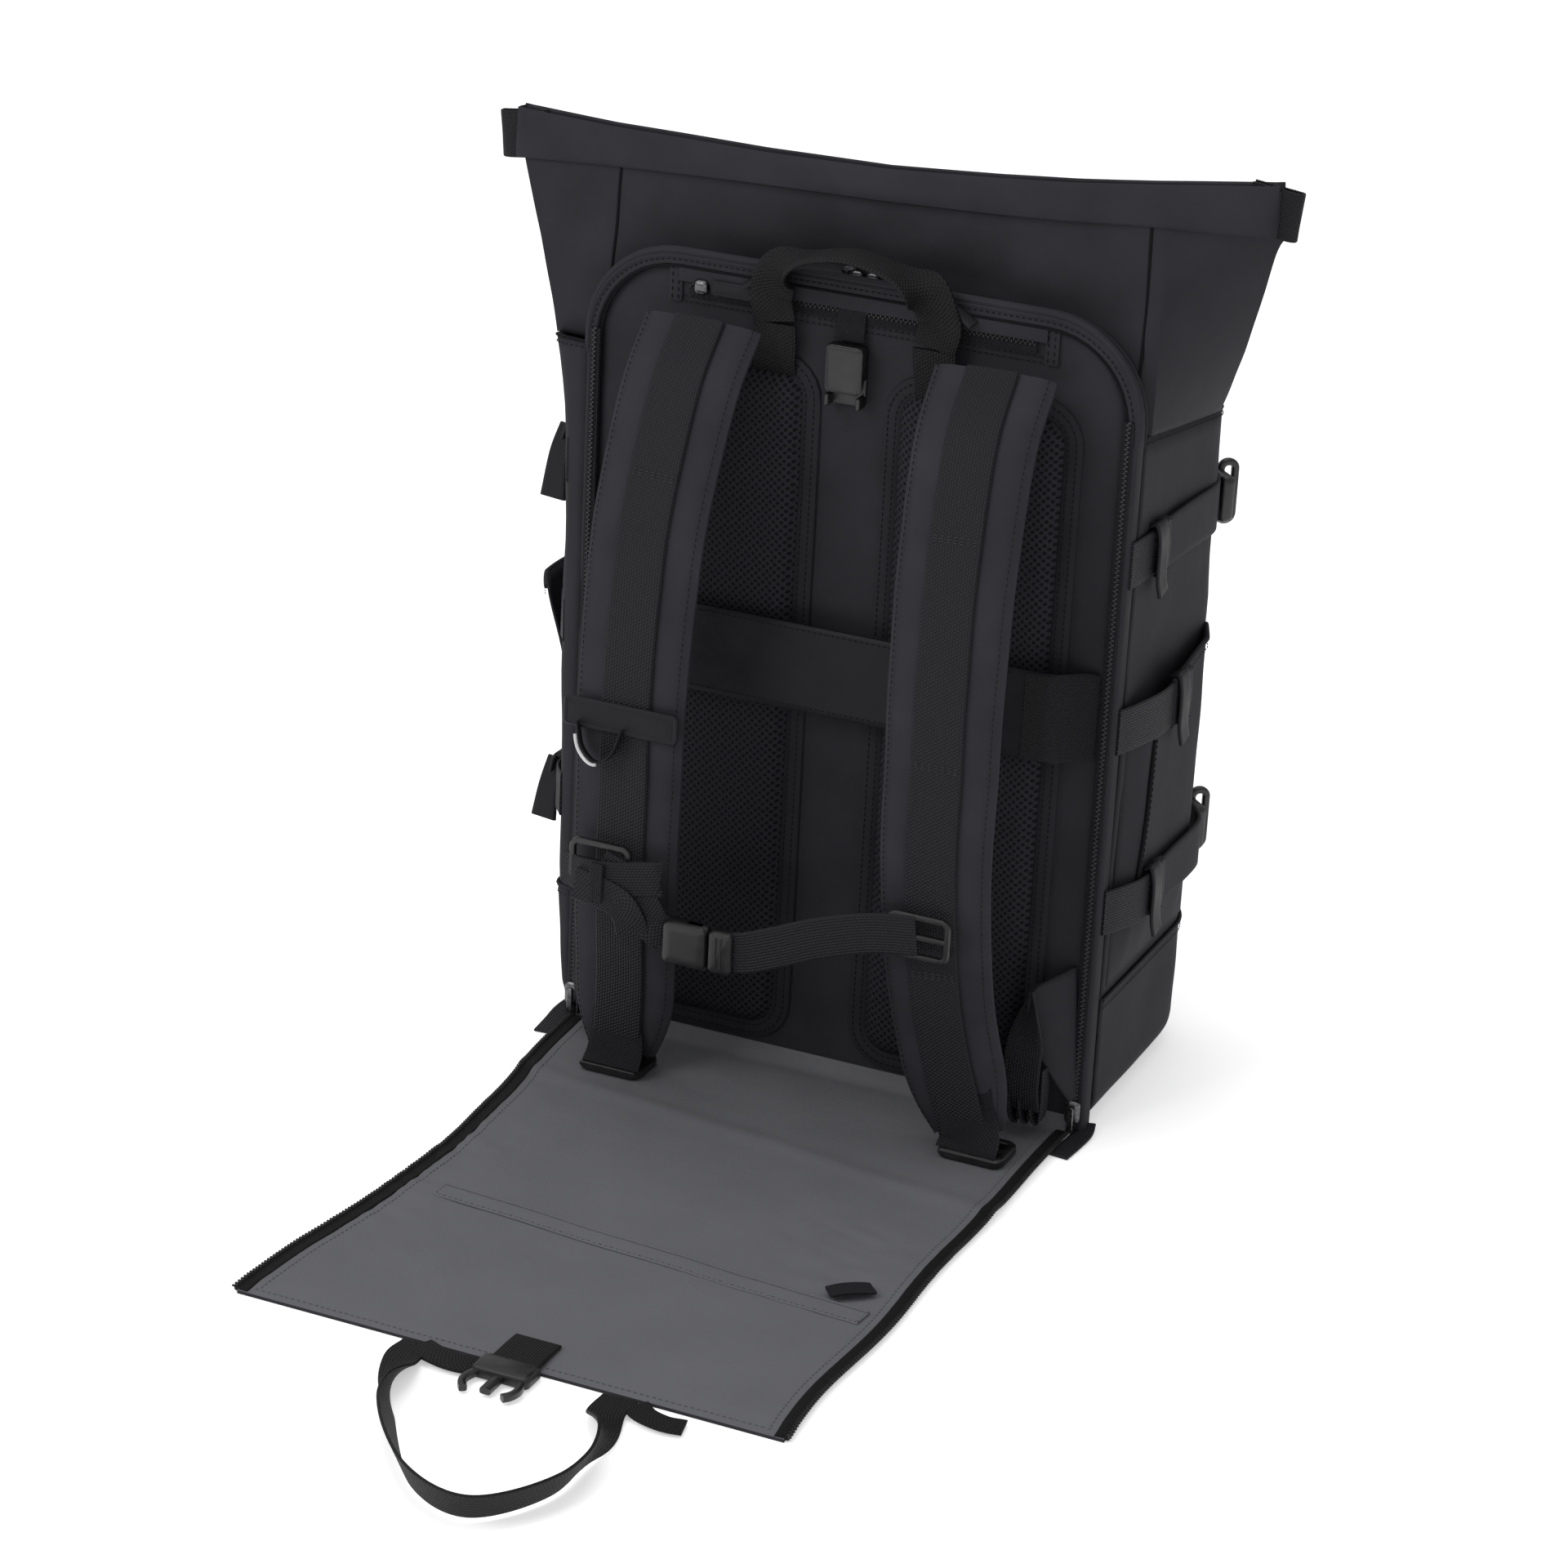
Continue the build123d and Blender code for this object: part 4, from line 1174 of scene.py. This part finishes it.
def make_hang_buckle():
    """The socket on its short loop at the top of the panel."""
    low, high = span("hang_buckle")
    x = (low[0], high[0])
    face = low[1]
    pieces = [
        dome("hang_socket_front", x, (low[2] + 8, high[2]), 3,
             [(0.8, 0), (0, 0.8), (0, 1.6), (1, 2.2), (3, 2.4)],
             facing_back(face + 2.4), PLASTIC, "hanging_socket", slot="buckle_plastic"),
        dome("hang_socket_rear", x, (low[2], high[2]), 3,
             [(0.6, 0), (0, 0.5), (0, 1.4), (0.6, 1.9), (2, 1.9)],
             facing_back(high[1]), PLASTIC, "hanging_socket", slot="buckle_plastic"),
    ]
    for k, edge in enumerate(x):
        inner = (edge, edge + 2.8) if k == 0 else (edge - 2.8, edge)
        for part, z in enumerate(((low[2], low[2] + 7), (low[2] + 15, high[2]))):
            pieces.append(dome(f"hang_socket_side_{k}_{part}", inner, z, 1.2,
                               [(0.6, 0), (0, 0.6), (0, 7.4), (0.6, 8.2), (1, 8.2)],
                               facing_back(high[1] - 0.4), PLASTIC, "hanging_socket", slot="buckle_plastic"))
    pieces.append(dome("hang_socket_bar", (x[0] + 1, x[1] - 1), (high[2] - 4.5, high[2]), 1.5,
                       [(0.6, 0), (0, 0.6), (0, 8), (0.6, 8.8), (1, 8.8)], facing_back(high[1]), PLASTIC,
                       "hanging_socket",
                       slot="buckle_plastic"))
    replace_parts(pieces[0], "hang_buckle")
    loop = webbing("hang_web", [(-4.5, -92, 452), (-4.5, -92.5, 441), (-4.5, -93.6, 433),
                                (-4.5, -94.2, 428.8)], X_AXIS, 17,
                   "shell", thick=1.4, material=FINE_WEBBING, slot="webbing")
    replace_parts(loop, "hang_loop")


# ---------------------------------------------------------------- zip sliders

def puller_tab(name, place, length, width, material, body, **more):
    """A flat tab with rounded ends and a stitched edge, lying along a."""
    return dome(name, (0, length), (-width / 2, width / 2), width * 0.3,
                [(0.3, -0.9), (0, -0.4), (0, 0.6), (0.5, 1.0), (1.3, 0.8), (2, 1.0)], place, material, body,
                **more)


def make_sliders():
    for side, label in ((-1, "left"), (1, "right")):
        low, high = span(f"cover_slider_{label}")
        slider = dome(f"cover_zip_slider_{label}", (low[0], high[0]), (8, high[2]), 3,
                      [(0.8, 0), (0, 0.6), (0, 2.0), (0.9, 2.9), (2.4, 3.2)], facing_back(high[1]), METAL,
                      f"cover_zip_{label}",
                      slot="gunmetal")
        dome(f"cover_zip_tongue_{label}", (low[0] + 2.4, high[0] - 2.4), (low[2], high[2] - 3), 1.5,
             [(0.3, 0), (0, 0.4), (0, 1.2), (0.5, 1.7)], facing_back(high[1] - 3.2), METAL,
             f"cover_zip_{label}", slot="gunmetal")
        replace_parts(slider, f"cover_slider_{label}")

        low, high = span(f"laptop_slider_{label}")
        slider = dome(f"laptop_zip_slider_{label}", (low[0], high[0]), (low[1], high[1]), 2,
                      [(0.6, 0), (0, 0.5), (0, 2.6), (0.8, 3.6), (2, 4.2)], facing_up(low[2]), METAL,
                      f"laptop_zip_{label}",
                      slot="gunmetal")
        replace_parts(slider, f"laptop_slider_{label}")
        path = smooth_path([(side * 10.2, -87, 463.6), (side * 26, -88, 464), (side * 44, -92, 461.5),
                            (side * 56, -95.5, 455.5), (side * 66, -96.8, 449.5)], 40)
        tab = sweep(f"laptop_tab_{label}", path, np.array([0, 1.0, 0.35]), oval(7.5, 2.2, 4, 16), LEATHER,
                    f"laptop_pull_{label}", slot="leather")
        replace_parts(tab, f"laptop_puller_{label}")
        ring = [(side * 6.5, -89, 466.4), (side * 10.5, -90.5, 466.2), (side * 13, -88, 465.2),
                (side * 10.5, -85.2, 465.8),
                (side * 6.5, -86, 466.4), (side * 5.8, -87.5, 466.6), (side * 6.5, -89, 466.4)]
        cord(f"laptop_ring_{label}", smooth_path(ring, 40), 0.8, METAL, f"laptop_zip_{label}",
             slot="gunmetal")

    low, high = span("access_slider")
    slider = dome("access_zip_slider", (low[0], high[0]), (low[2], high[2]), 2.4,
                  [(0.8, 0), (0, 0.6), (0, 2.6), (1, 3.8), (2.6, 4.2)], facing_back(high[1]), METAL,
                  "access_zip", slot="gunmetal")
    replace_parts(slider, "access_slider")
    low, high = span("access_puller")
    place = tilted(np.array([low[0], -94.8, 445.0]), X_AXIS, Z_AXIS)
    tab = puller_tab("access_tab", place, high[0] - low[0], 8, LEATHER, "access_pull", slot="leather")
    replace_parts(tab, "access_puller")


# ---------------------------------------------------------------- sides and front

def on_side(side, out, y, z):
    """A point beside the bag, which follows the left wall's swell."""
    x = side * out
    return (x - bulge(x, y, z), y, z)


def side_points(side, rows):
    return [on_side(side, *row) for row in rows]


def make_side(side, label):
    """A bottle pocket, three straps with their keepers, and two buckles."""
    pocket_low, pocket_high = span(f"side_pocket_{label}")
    y = (pocket_low[1], pocket_high[1])
    z = (pocket_low[2], pocket_high[2])
    rows, cols = 30, 34
    points = np.zeros((rows, cols, 3))
    for i, t in enumerate(np.linspace(0, 1, rows)):
        for j, s in enumerate(np.linspace(0, 1, cols)):
            swell = min(1, math.sin(math.pi * s) * 2.2) * (1 - (1 - t) ** 6)
            rim = z[1] - (22 if side > 0 else 8) * (1 - s) ** 1.4
            height = z[0] + (rim - z[0]) * t
            out = 160.4 + 7.2 * swell + 0.7 * noise.noise(Vector((side * 4, s * 3, t * 5))) * swell
            if side < 0:
                gape = math.exp(-(((height - 260) / (13 if height > 260 else 42)) ** 2))
                out += 19 * gape * math.sin(math.pi * min(1, 0.3 + 0.8 * s))
            points[i, j] = on_side(side, out, y[0] + (y[1] - y[0]) * s, height)
    pocket = grid(f"bottle_pocket_{label}", points, SHELL, "shell", thick=1.4, slot="shell_fabric")
    pocket.modifiers["thickness"].offset = -1 if pocket.data.polygons[500].normal.x * side > 0 else 1
    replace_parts(pocket, f"side_pocket_{label}")
    rim_line = points[-1] + np.array([side * 0.4, 0, 0])
    cord(f"pocket_rim_{label}", rim_line, 1.5, SHELL, "shell", slot="shell_fabric")
    sideways = np.array([side, 0.0, 0.0])
    slit = smooth_path(side_points(side, [(168.2, -50, 222), (168.6, -54, 180), (167.6, -59, 140)]), 40)
    # A dark cord of painted shade in the pocket's slit opening.
    cord(f"pocket_slit_shade_{label}", slit, 1.3, SEAM_SHADE, "shell", slot="shell_fabric")
    lines = [
        (rim_line + np.array([side * 0.6, 0, -5]), sideways),
        (slit + np.array([side * 0.2, 4.5, 0]), sideways),
    ]
    stitches(f"side_stitches_{label}", lines, "shell", slot="shell_fabric")

    upper = make_side_strap(f"upper_strap_{label}", side,
                            [(160.4, -90, 332), (162.0, -70, 332), (162.6, -48, 332)],
                            [(162.6, -50, 332), (162.8, -10, 331), (162, 30, 328), (159.5, 48, 326),
                             (154, 64, 325)])
    make_side_strap(f"middle_strap_{label}", side,
                    [(160.4, -89, 238), (165, -74, 238), (170, -50, 238), (170.6, -30, 238)],
                    [(170.6, -32, 238), (170.4, -20, 238), (169, -8, 238)])
    make_side_strap(f"lower_strap_{label}", side,
                    [(160.4, -89, 133), (166, -76, 133), (170.4, -58, 132), (170.8, -36, 132)],
                    [(170.8, -38, 132), (170.6, -10, 132), (169.6, 34, 131), (163, 52, 130), (155, 66, 128)])
    if side > 0:
        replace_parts(upper, "side_straps", "compression_buckles")
    for name, yy, zz, out in (("upper", -58, 332, 163.4), ("middle", -24, 238, 171.4),
                              ("lower", -44, 132, 171.4)):
        if side > 0 or name == "middle":
            route = [(out - 2.5, yy, zz + 15), (out + 1.2, yy - 1, zz + 15.5), (out + 3, yy, zz + 6),
                     (out + 3, yy + 1, zz - 14), (out + 4, yy + 3, zz - 24)]
            webbing(f"{name}_tail_{label}", side_points(side, route), Y_AXIS, 13, "shell", thick=2.0,
                    material=LEATHER,
                    slot="leather")
        else:
            reach, drop = (17, 34) if name == "upper" else (12, 28)
            hinge = [(out - 1, -57, zz + 15), (out + 0.35 * reach, -58, zz + 12),
                     (out + 0.6 * reach, -58, zz + 2)]
            webbing(f"{name}_tail_loop_{label}", side_points(side, hinge), Y_AXIS, 12, "shell", thick=2.0,
                    material=LEATHER, slot="leather")
            route = [(out + 0.55 * reach, -58, zz + 9), (out + 0.8 * reach, -60, zz - 8),
                     (out + reach, -61, zz - drop)]
            tail = smooth_path(side_points(side, route), 40)
            spread = np.stack([np.linspace(0.55, 1.0, 40), np.ones(40)], axis=1)
            sweep(f"{name}_tail_{label}", tail, X_AXIS, strip_profile(16, 3.0), LEATHER, "shell", spread,
                  slot="leather")
        for edge in (-14.5, 14.5):
            route = [(out - 2.0, yy + 8, zz + edge * 0.9), (out + 1.2, yy + 8.5, zz + edge),
                     (out - 1.5, yy + 9, zz + edge * 1.08)]
            webbing(f"{name}_keeper_{label}_{'top' if edge > 0 else 'foot'}", side_points(side, route),
                    Y_AXIS, 11, "shell",
                    thick=1.5, slot="webbing")
        route = [(out + 1.4, yy + 8, zz + 14.5), (out + 2.2, yy + 8, zz), (out + 1.4, yy + 8, zz - 14.5)]
        webbing(f"{name}_band_{label}", side_points(side, route), Y_AXIS, 11, "shell", thick=1.5,
                slot="webbing")
    for name, zz in (("upper", 325), ("lower", 128)):
        make_corner_buckle(f"{name}_buckle_{label}", side, zz)


def make_side_strap(name, side, webbing_route, fabric_route):
    """A compression strap: bare webbing from the frame to its keeper, and a sewn fabric band beyond it."""
    bare = webbing(name, side_points(side, webbing_route), Z_AXIS, 26, "shell", slot="webbing")
    webbing(name + "_band", side_points(side, fabric_route), Z_AXIS, 29, "shell", thick=2.4, material=SHELL,
            slot="shell_fabric")
    return bare


def make_corner_buckle(name, side, z):
    """A side-release buckle on the bag's front corner."""
    around = unit(np.array([-side, 1.0, 0.0]))
    outward = unit(np.array([side, 1.0, 0.0]))
    centre = np.array([side * 149.5, 74.5, z])
    flip = 1 if np.dot(np.cross(around, Z_AXIS), outward) > 0 else -1
    place = tilted(centre - outward * 3, around * flip, Z_AXIS)
    dome(name, (-17, 9), (-13.5, 13.5), 4, [(1, 0), (0, 1.2), (0, 5.4), (1.2, 7.2), (3.4, 7.8)], place,
         PLASTIC, "shell",
         slot="buckle_plastic")
    dome(name + "_bar", (9.4, 17), (-12.5, 12.5), 3, [(1, 0.8), (0, 2), (0, 5), (1, 6.4), (2, 6.6)], place,
         PLASTIC, "shell",
         slot="buckle_plastic")
    ring = tilted(centre + outward * 7, outward, Z_AXIS)
    frame_bars(name + "_latch", ring, 13, 38, 4, 4, [0.0], PLASTIC, "shell", slot="buckle_plastic")


def make_front():
    """The flat front pocket, its closing strap and the hook."""
    low, high = span("front_pocket")
    pocket = dome("front_pouch", (low[0], high[0]), (low[2], high[2]), 22,
                  [(1, 0), (0, 1), (0, 5), (1.5, 8.6), (5, 10.6), (12, 11.5), (40, 11.7)],
                  facing_front(low[1]), SHELL, "shell", slot="shell_fabric")
    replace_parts(pocket, "front_pocket")
    ring = round_rect((low[0], high[0]), (low[2], high[2]), 22, 7)
    path = np.array([(-a, low[1] + 11.2, b) for a, b in np.vstack([ring, ring[:1]])])
    stitches("front_stitches", [(path, Y_AXIS)], "shell", slot="shell_fabric")
    zip_z = 300
    line = smooth_path([(-96, low[1] + 12.0, zip_z), (96, low[1] + 12.0, zip_z)], 90)
    tape = [(-98, low[1] + 11.6, zip_z), (0, low[1] + 11.7, zip_z), (98, low[1] + 11.6, zip_z)]
    webbing("front_zip_tape", tape, Z_AXIS, 9, "shell", thick=0.9, material=TAPE, slot="zip_tape")
    zip_teeth("front_zip_teeth", line, Y_AXIS, "shell")
    strap = webbing("closing_strap", [(0, FRONT_Y + 3, 374), (0, FRONT_Y + 12.8, 352),
                                      (0, FRONT_Y + 13.2, 300), (0, FRONT_Y + 13.2, 230),
                                      (0, FRONT_Y + 13.4, 168)],
                    X_AXIS, 25, "shell", slot="webbing")
    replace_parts(strap, "front_strap")
    hook = frame_bars("closing_hook", tilted(np.array([0, FRONT_Y + 15, 154.8]), -X_AXIS, Z_AXIS), 32, 29, 5,
                      4.8, [0.0], PLASTIC, "shell", slot="buckle_plastic")
    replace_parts(hook, "front_hook")


def make_inside():
    """What shows only when the bag is open: the laptop divider and the stiff back sheet."""
    low, high = span("laptop_divider")
    divider = dome("divider", (low[0], high[0]), (low[2], high[2]), 20,
                   [(0.5, 0), (0, 0.5), (0, 2.2), (0.8, 2.8), (6, 3.0)],
                   facing_back(high[1]), LINING, "shell", slot="lining")
    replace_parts(divider, "laptop_divider")
    low, high = span("frame_sheet")
    sheet = dome("stiff_sheet", (low[0], high[0]), (low[2], high[2]), 40,
                 [(0.3, 0), (0, 0.3), (0, 1.1), (0.4, 1.4)],
                 facing_back(high[1]), SHEET_PLASTIC, "shell", slot="stiffener")
    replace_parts(sheet, "frame_sheet")


# ---------------------------------------------------------------- cover

CREASE_Y = LEAF_HIGH[1] + 0.25
COVER_EDGE = LEAF_LOW[1]


def across_crease(piece):
    """Take a piece of the cover off its rigid body and bake its placement into its mesh."""
    piece.parent = None
    del piece["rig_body"]
    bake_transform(piece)
    return piece


def ripple(x, y):
    """How far the cover's upper face lifts off its flat lie."""
    lift = 1.1 * noise.noise(Vector((x / 70, y / 60, 1))) + 0.5 * noise.noise(Vector((x / 25, y / 35, 4)))
    fold = 1.4 * math.exp(-(((y - CREASE_Y) + 0.12 * x) / 7) ** 2)
    near_tab = math.exp(-(((x - 105) / 40) ** 2) - ((y + 292) / 42) ** 2)
    fold += 1.6 * near_tab * noise.noise(Vector((x / 20 + y / 30, y / 11, 7)))
    near_left = math.exp(-(((x + 125) / 18) ** 2) - ((y + 300) / 90) ** 2)
    fold += 1.6 * near_left * noise.noise(Vector((x / 26, y / 9, 9)))
    edge = min(1, (COVER_EDGE - y) / -14, (APRON_HIGH[1] - y) / 14 if y > -150 else 1)
    return max(0.0, 0.9 + lift + fold) * max(edge, 0.1)


def edge_draw(side, y):
    """How far a cover edge is drawn in or out by its zip at a given y."""
    share = min(1.0, max(0.0, (APRON_HIGH[1] - y) / (APRON_HIGH[1] - COVER_EDGE)))
    if side < 0:
        return 15.0 * math.sin(math.pi * share) ** 1.6 + 0.4 * math.sin(9 * math.pi * share)
    return -2.2 * math.sin(5.2 * math.pi * share) * share


def make_cover():
    rows, cols = 120, 92
    y = np.linspace(APRON_HIGH[1], COVER_EDGE, rows)
    top = []
    for b in y:
        low, high = LEAF_LOW[0] + 1 + edge_draw(-1, b), LEAF_HIGH[0] - 1 + edge_draw(1, b)
        top.append([(a, b, 1.9 + ripple(a, b)) for a in np.linspace(low, high, cols)])
    top = np.array(top)
    rise = 8.0 * np.clip((top[..., 1] - (APRON_HIGH[1] - 9)) / 9, 0, 1) ** 2
    top[..., 2] += rise
    bottom = np.stack([top[..., 0], top[..., 1], 0.2 + rise], axis=-1)
    verts = np.vstack([top.reshape(-1, 3), bottom.reshape(-1, 3)])
    shift = rows * cols
    faces, slots = [], []
    for i in range(rows - 1):
        for j in range(cols - 1):
            a, b, c, d = i * cols + j, i * cols + j + 1, (i + 1) * cols + j + 1, (i + 1) * cols + j
            faces += [(a, b, c, d), (d + shift, c + shift, b + shift, a + shift)]
            slots += [0, 1]
    rim = [j for j in range(cols)] + [i * cols + cols - 1 for i in range(1, rows)]
    rim += [(rows - 1) * cols + j for j in range(cols - 2, -1, -1)] + [i * cols for i in range(rows - 2, 0,
            -1)]
    for a, b in zip(rim, rim[1:] + rim[:1]):
        faces.append((b, a, a + shift, b + shift))
        slots.append(1)
    cover = add_mesh("cover_cloth", verts, faces, LINING, "cover", verts, slot="lining")
    cover.data.materials.append(SHELL)
    cover.data.polygons.foreach_set("material_index", slots)
    across_crease(cover)
    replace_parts(cover, "cover_leaf", "cover_apron")

    for side, label in ((-1, "left"), (1, "right")):
        edge_x = side * (LEAF_HIGH[0] - 2.5)
        ys = np.linspace(APRON_HIGH[1] - 1, COVER_EDGE + 1, 160)
        path = np.array([(edge_x + edge_draw(side, b), b,
                          1.9 + ripple(edge_x - side * 8, b) * 0.8) for b in ys])
        across_crease(sweep(f"cover_edge_{label}", path, X_AXIS, strip_profile(8.0, 2.0), TAPE, "cover",
                            slot="zip_tape"))
        across_crease(zip_teeth(f"cover_edge_teeth_{label}", path + np.array([side * 3.6, 0, 1.5]), Z_AXIS,
                                "cover"))
    lines = []
    for side in (-1, 1):
        edge_x = side * (LEAF_HIGH[0] - 10.5)
        ys = np.linspace(APRON_HIGH[1] - 4, COVER_EDGE + 6, 140)
        hem = [(edge_x + edge_draw(side, b), b, 2.1 + ripple(edge_x + edge_draw(side, b), b)) for b in ys]
        lines.append((np.array(hem), Z_AXIS))
    xs = np.linspace(-144, 144, 100)
    lines.append((np.array([(a, COVER_EDGE + 5, 2.1 + ripple(a, COVER_EDGE + 5)) for a in xs]), Z_AXIS))
    across_crease(stitches("cover_stitches", lines, "cover", material=LINING_THREAD, radius=0.3,
                           slot="lining"))


def make_cover_pocket():
    """The hidden pocket in the cover's lining: a folded welt and a black pull tab."""
    def on_cover(a, b, height):
        return (a, b, 2.0 + ripple(a, b) + height)

    xs = np.linspace(-113, 139, 80)
    line = np.array([on_cover(a, -329 - 0.075 * (a + 113), 0.3) for a in xs])
    sweep("pocket_welt", line, Y_AXIS, strip_profile(14, 1.3), LINING, "cover", slot="lining")
    cord("pocket_welt_edge", line + np.array([0, 6.0, 0.9]), 0.7, LINING, "cover", slot="lining")
    lines = []
    for offset in (-5.6, 8.5):
        lines.append((line + np.array([0, offset, 0.9 if offset < 0 else 0.0]), Z_AXIS))
    for x, b in ((-113, -329), (138, -348)):
        lines.append((np.array([on_cover(x, b + t, 1.0) for t in np.linspace(-6, 9, 8)]), Z_AXIS))
    stitches("pocket_stitches", lines, "cover", material=LINING_THREAD, radius=0.3, slot="lining")
    path = smooth_path([(114, -336, 6.4), (120, -331, 7.4), (127, -325, 7.0), (132, -320, 5.6)], 20)
    tab = sweep("pocket_tab", path, np.array([0.6, -0.8, 0]), strip_profile(11, 1.8), FINE_WEBBING,
                "lining_zip", slot="zip_tape")
    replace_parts(tab, "lining_slider")


def make_cover_end():
    """The tab and buckle plug at the cover's end, its webbing, and the carry loop."""
    path = [(7, -449, 4.0), (7, -460, 4.4), (7, -470, 4.4), (7, -476, 4.4), (7, -481.5, 4.0)]
    tab = webbing("end_tab", path, X_AXIS, 26, "cover", thick=1.6, material=DARK_WEBBING, slot="webbing")
    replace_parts(tab, "cover_tab")
    low, high = span("cover_plug")
    bar = dome("end_plug", (low[0], high[0]), (-492, -475.5), 3,
               [(0.8, 0), (0, 0.9), (0, 4.6), (1, 6.0), (2.6, 6.4)],
               facing_up(0.8), PLASTIC, "cover", slot="buckle_plastic")
    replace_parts(bar, "cover_plug")
    for k, x in enumerate((-5.4, 18.8)):
        bow = 2.4 * (1 if x > 0 else -1)
        prong = smooth_path([(x, -490, 3.8), (x + bow, -498, 3.8), (x + bow * 0.6, -504, 3.8),
                             (x - bow * 0.6, -508, 3.8)], 16)
        sweep(f"end_prong_{k}", prong, X_AXIS, oval(4.2, 4.0, 4, 12), PLASTIC, "cover",
              slot="buckle_plastic")
    sweep("end_guide", smooth_path([(7, -490, 3.8), (7, -506, 3.8)], 6), X_AXIS, oval(6, 3.6, 4, 12),
          PLASTIC, "cover", slot="buckle_plastic")
    webbing("end_spare", [(4, -478, 2.2), (-8, -484, 2.6), (-20, -487, 3.0), (-34, -484, 3.0),
                          (-44, -479, 2.2)], np.array([0.3, 1, 0]), 16,
            "cover", material=DARK_WEBBING, slot="webbing")
    webbing("end_strap", [(76, -480, 2.4), (84, -487, 2.8), (96, -490, 2.8), (106, -488, 2.4)],
            np.array([0.2, 1, 0]), 14, "cover", material=DARK_WEBBING,
            slot="webbing")

    route = [(-45, -477, 1.6), (-43, -500, 4), (-20, -556, 10.8), (18, -603, 11), (56, -614, 11),
             (82, -577, 11),
             (81, -530, 10.8), (68, -497, 4), (66, -477, 1.6)]
    path = smooth_path(route, 150)
    run = run_length(path) / run_length(path)[-1]
    turn = np.radians([quarter_turns(t, 0.03, 0.25) for t in run])
    outward = unit((path - np.array([15, -545, 0])) * np.array([1.0, 1.0, 0.0]))
    lean = math.radians(28)
    standing = outward * math.sin(lean) + Z_AXIS * math.cos(lean)
    across = X_AXIS * np.cos(turn)[:, None] + standing * np.sin(turn)[:, None]
    loop = sweep("carry_loop", path, across, strip_profile(19, 1.6, 11), DARK_WEBBING, "cover_loop",
                 slot="webbing")
    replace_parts(loop, "cover_handle")


def make_base_tabs():
    tabs = []
    for side, label in ((-1, "left"), (1, "right")):
        points = [(side * 158, -84, 4), (side * 160, -94, 2.4), (side * 159, -108, 1.4),
                  (side * 157.5, -124, 1.2)]
        tabs.append(webbing(f"base_tab_{label}", points, X_AXIS, 12, "shell", thick=1.6, slot="webbing"))
    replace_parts(tabs[0], "base_tabs")


# ---------------------------------------------------------------- stage

def make_stage():
    """A pale seamless floor, soft lamps, and the camera."""
    mesh = bpy.data.meshes.new("floor")
    size = 6.0
    mesh.from_pydata([(-size, -size, 0), (size, -size, 0), (size, size, 0), (-size, size, 0)], [],
                     [(0, 1, 2, 3)])
    floor = bpy.data.objects.new("floor", mesh)
    bpy.context.scene.collection.objects.link(floor)
    paper = shader("studio_paper", (0.95, 0.95, 0.95), 0.85, specular=0.1)
    place = place_coords(paper)
    tint(paper, noise_value(paper, place, 0.004, 2.0), (0.93, 0.93, 0.93), (0.97, 0.97, 0.97))
    bsdf = paper.node_tree.nodes["Principled BSDF"]
    bsdf.inputs["Emission Color"].default_value = (1, 1, 1, 1)
    bsdf.inputs["Emission Strength"].default_value = 0.42
    mesh.materials.append(paper)

    world = bpy.data.worlds.new("studio")
    world.use_nodes = True
    background = world.node_tree.nodes["Background"]
    background.inputs["Color"].default_value = (1, 1, 1, 1)
    background.inputs["Strength"].default_value = 0.6
    bpy.context.scene.world = world
    bpy.context.scene.view_settings.view_transform = "Standard"

    add_lamp("key", (-1.4, -2.2, 2.2), 1.6, 34)
    add_lamp("fill", (1.0, -2.8, 1.6), 1.6, 5)
    add_lamp("top", (-0.3, 0.1, 2.8), 1.6, 20)

    camera = bpy.data.cameras.new("camera")
    camera.lens = 104.55
    camera.sensor_width = 36
    seat = bpy.data.objects.new("camera", camera)
    bpy.context.scene.collection.objects.link(seat)
    azimuth, elevation, roll = math.radians(23.33), math.radians(22.08), math.radians(2.95)
    back = Vector((math.sin(azimuth) * math.cos(elevation), -math.cos(azimuth) * math.cos(elevation),
                   math.sin(elevation)))
    seat.location = (0.8928, -2.2317, 1.1148)
    seat.rotation_mode = "QUATERNION"
    turn = (-back).to_track_quat("-Z", "Y")
    seat.rotation_quaternion = turn @ Quaternion((math.cos(roll / 2), 0, 0, math.sin(roll / 2)))
    bpy.context.scene.camera = seat


def add_lamp(name, place, size, power):
    light = bpy.data.lights.new(name, "AREA")
    light.size = size
    light.energy = power
    lamp = bpy.data.objects.new(name, light)
    bpy.context.scene.collection.objects.link(lamp)
    lamp.location = place
    lamp.rotation_mode = "QUATERNION"
    lamp.rotation_quaternion = (Vector((0, -0.1, 0.25)) - Vector(place)).to_track_quat("-Z", "Y")
    return lamp


make_walls()
make_base()
make_back_panel()
make_rim()
make_zips()
make_neck()
make_collar()
make_pad("left", PAD_LEFT)
make_pad("right", PAD_RIGHT)
make_trolley_sleeve()
make_shoulder_strap(1, "right")
make_shoulder_strap(-1, "left")
make_ladder_locks()
make_wings()
make_strap_patch()
make_sternum()
make_grab_handle()
make_hang_buckle()
make_sliders()
make_side(1, "right")
make_side(-1, "left")
make_front()
make_inside()
make_cover()
make_cover_pocket()
make_cover_end()
make_base_tabs()
make_stage()
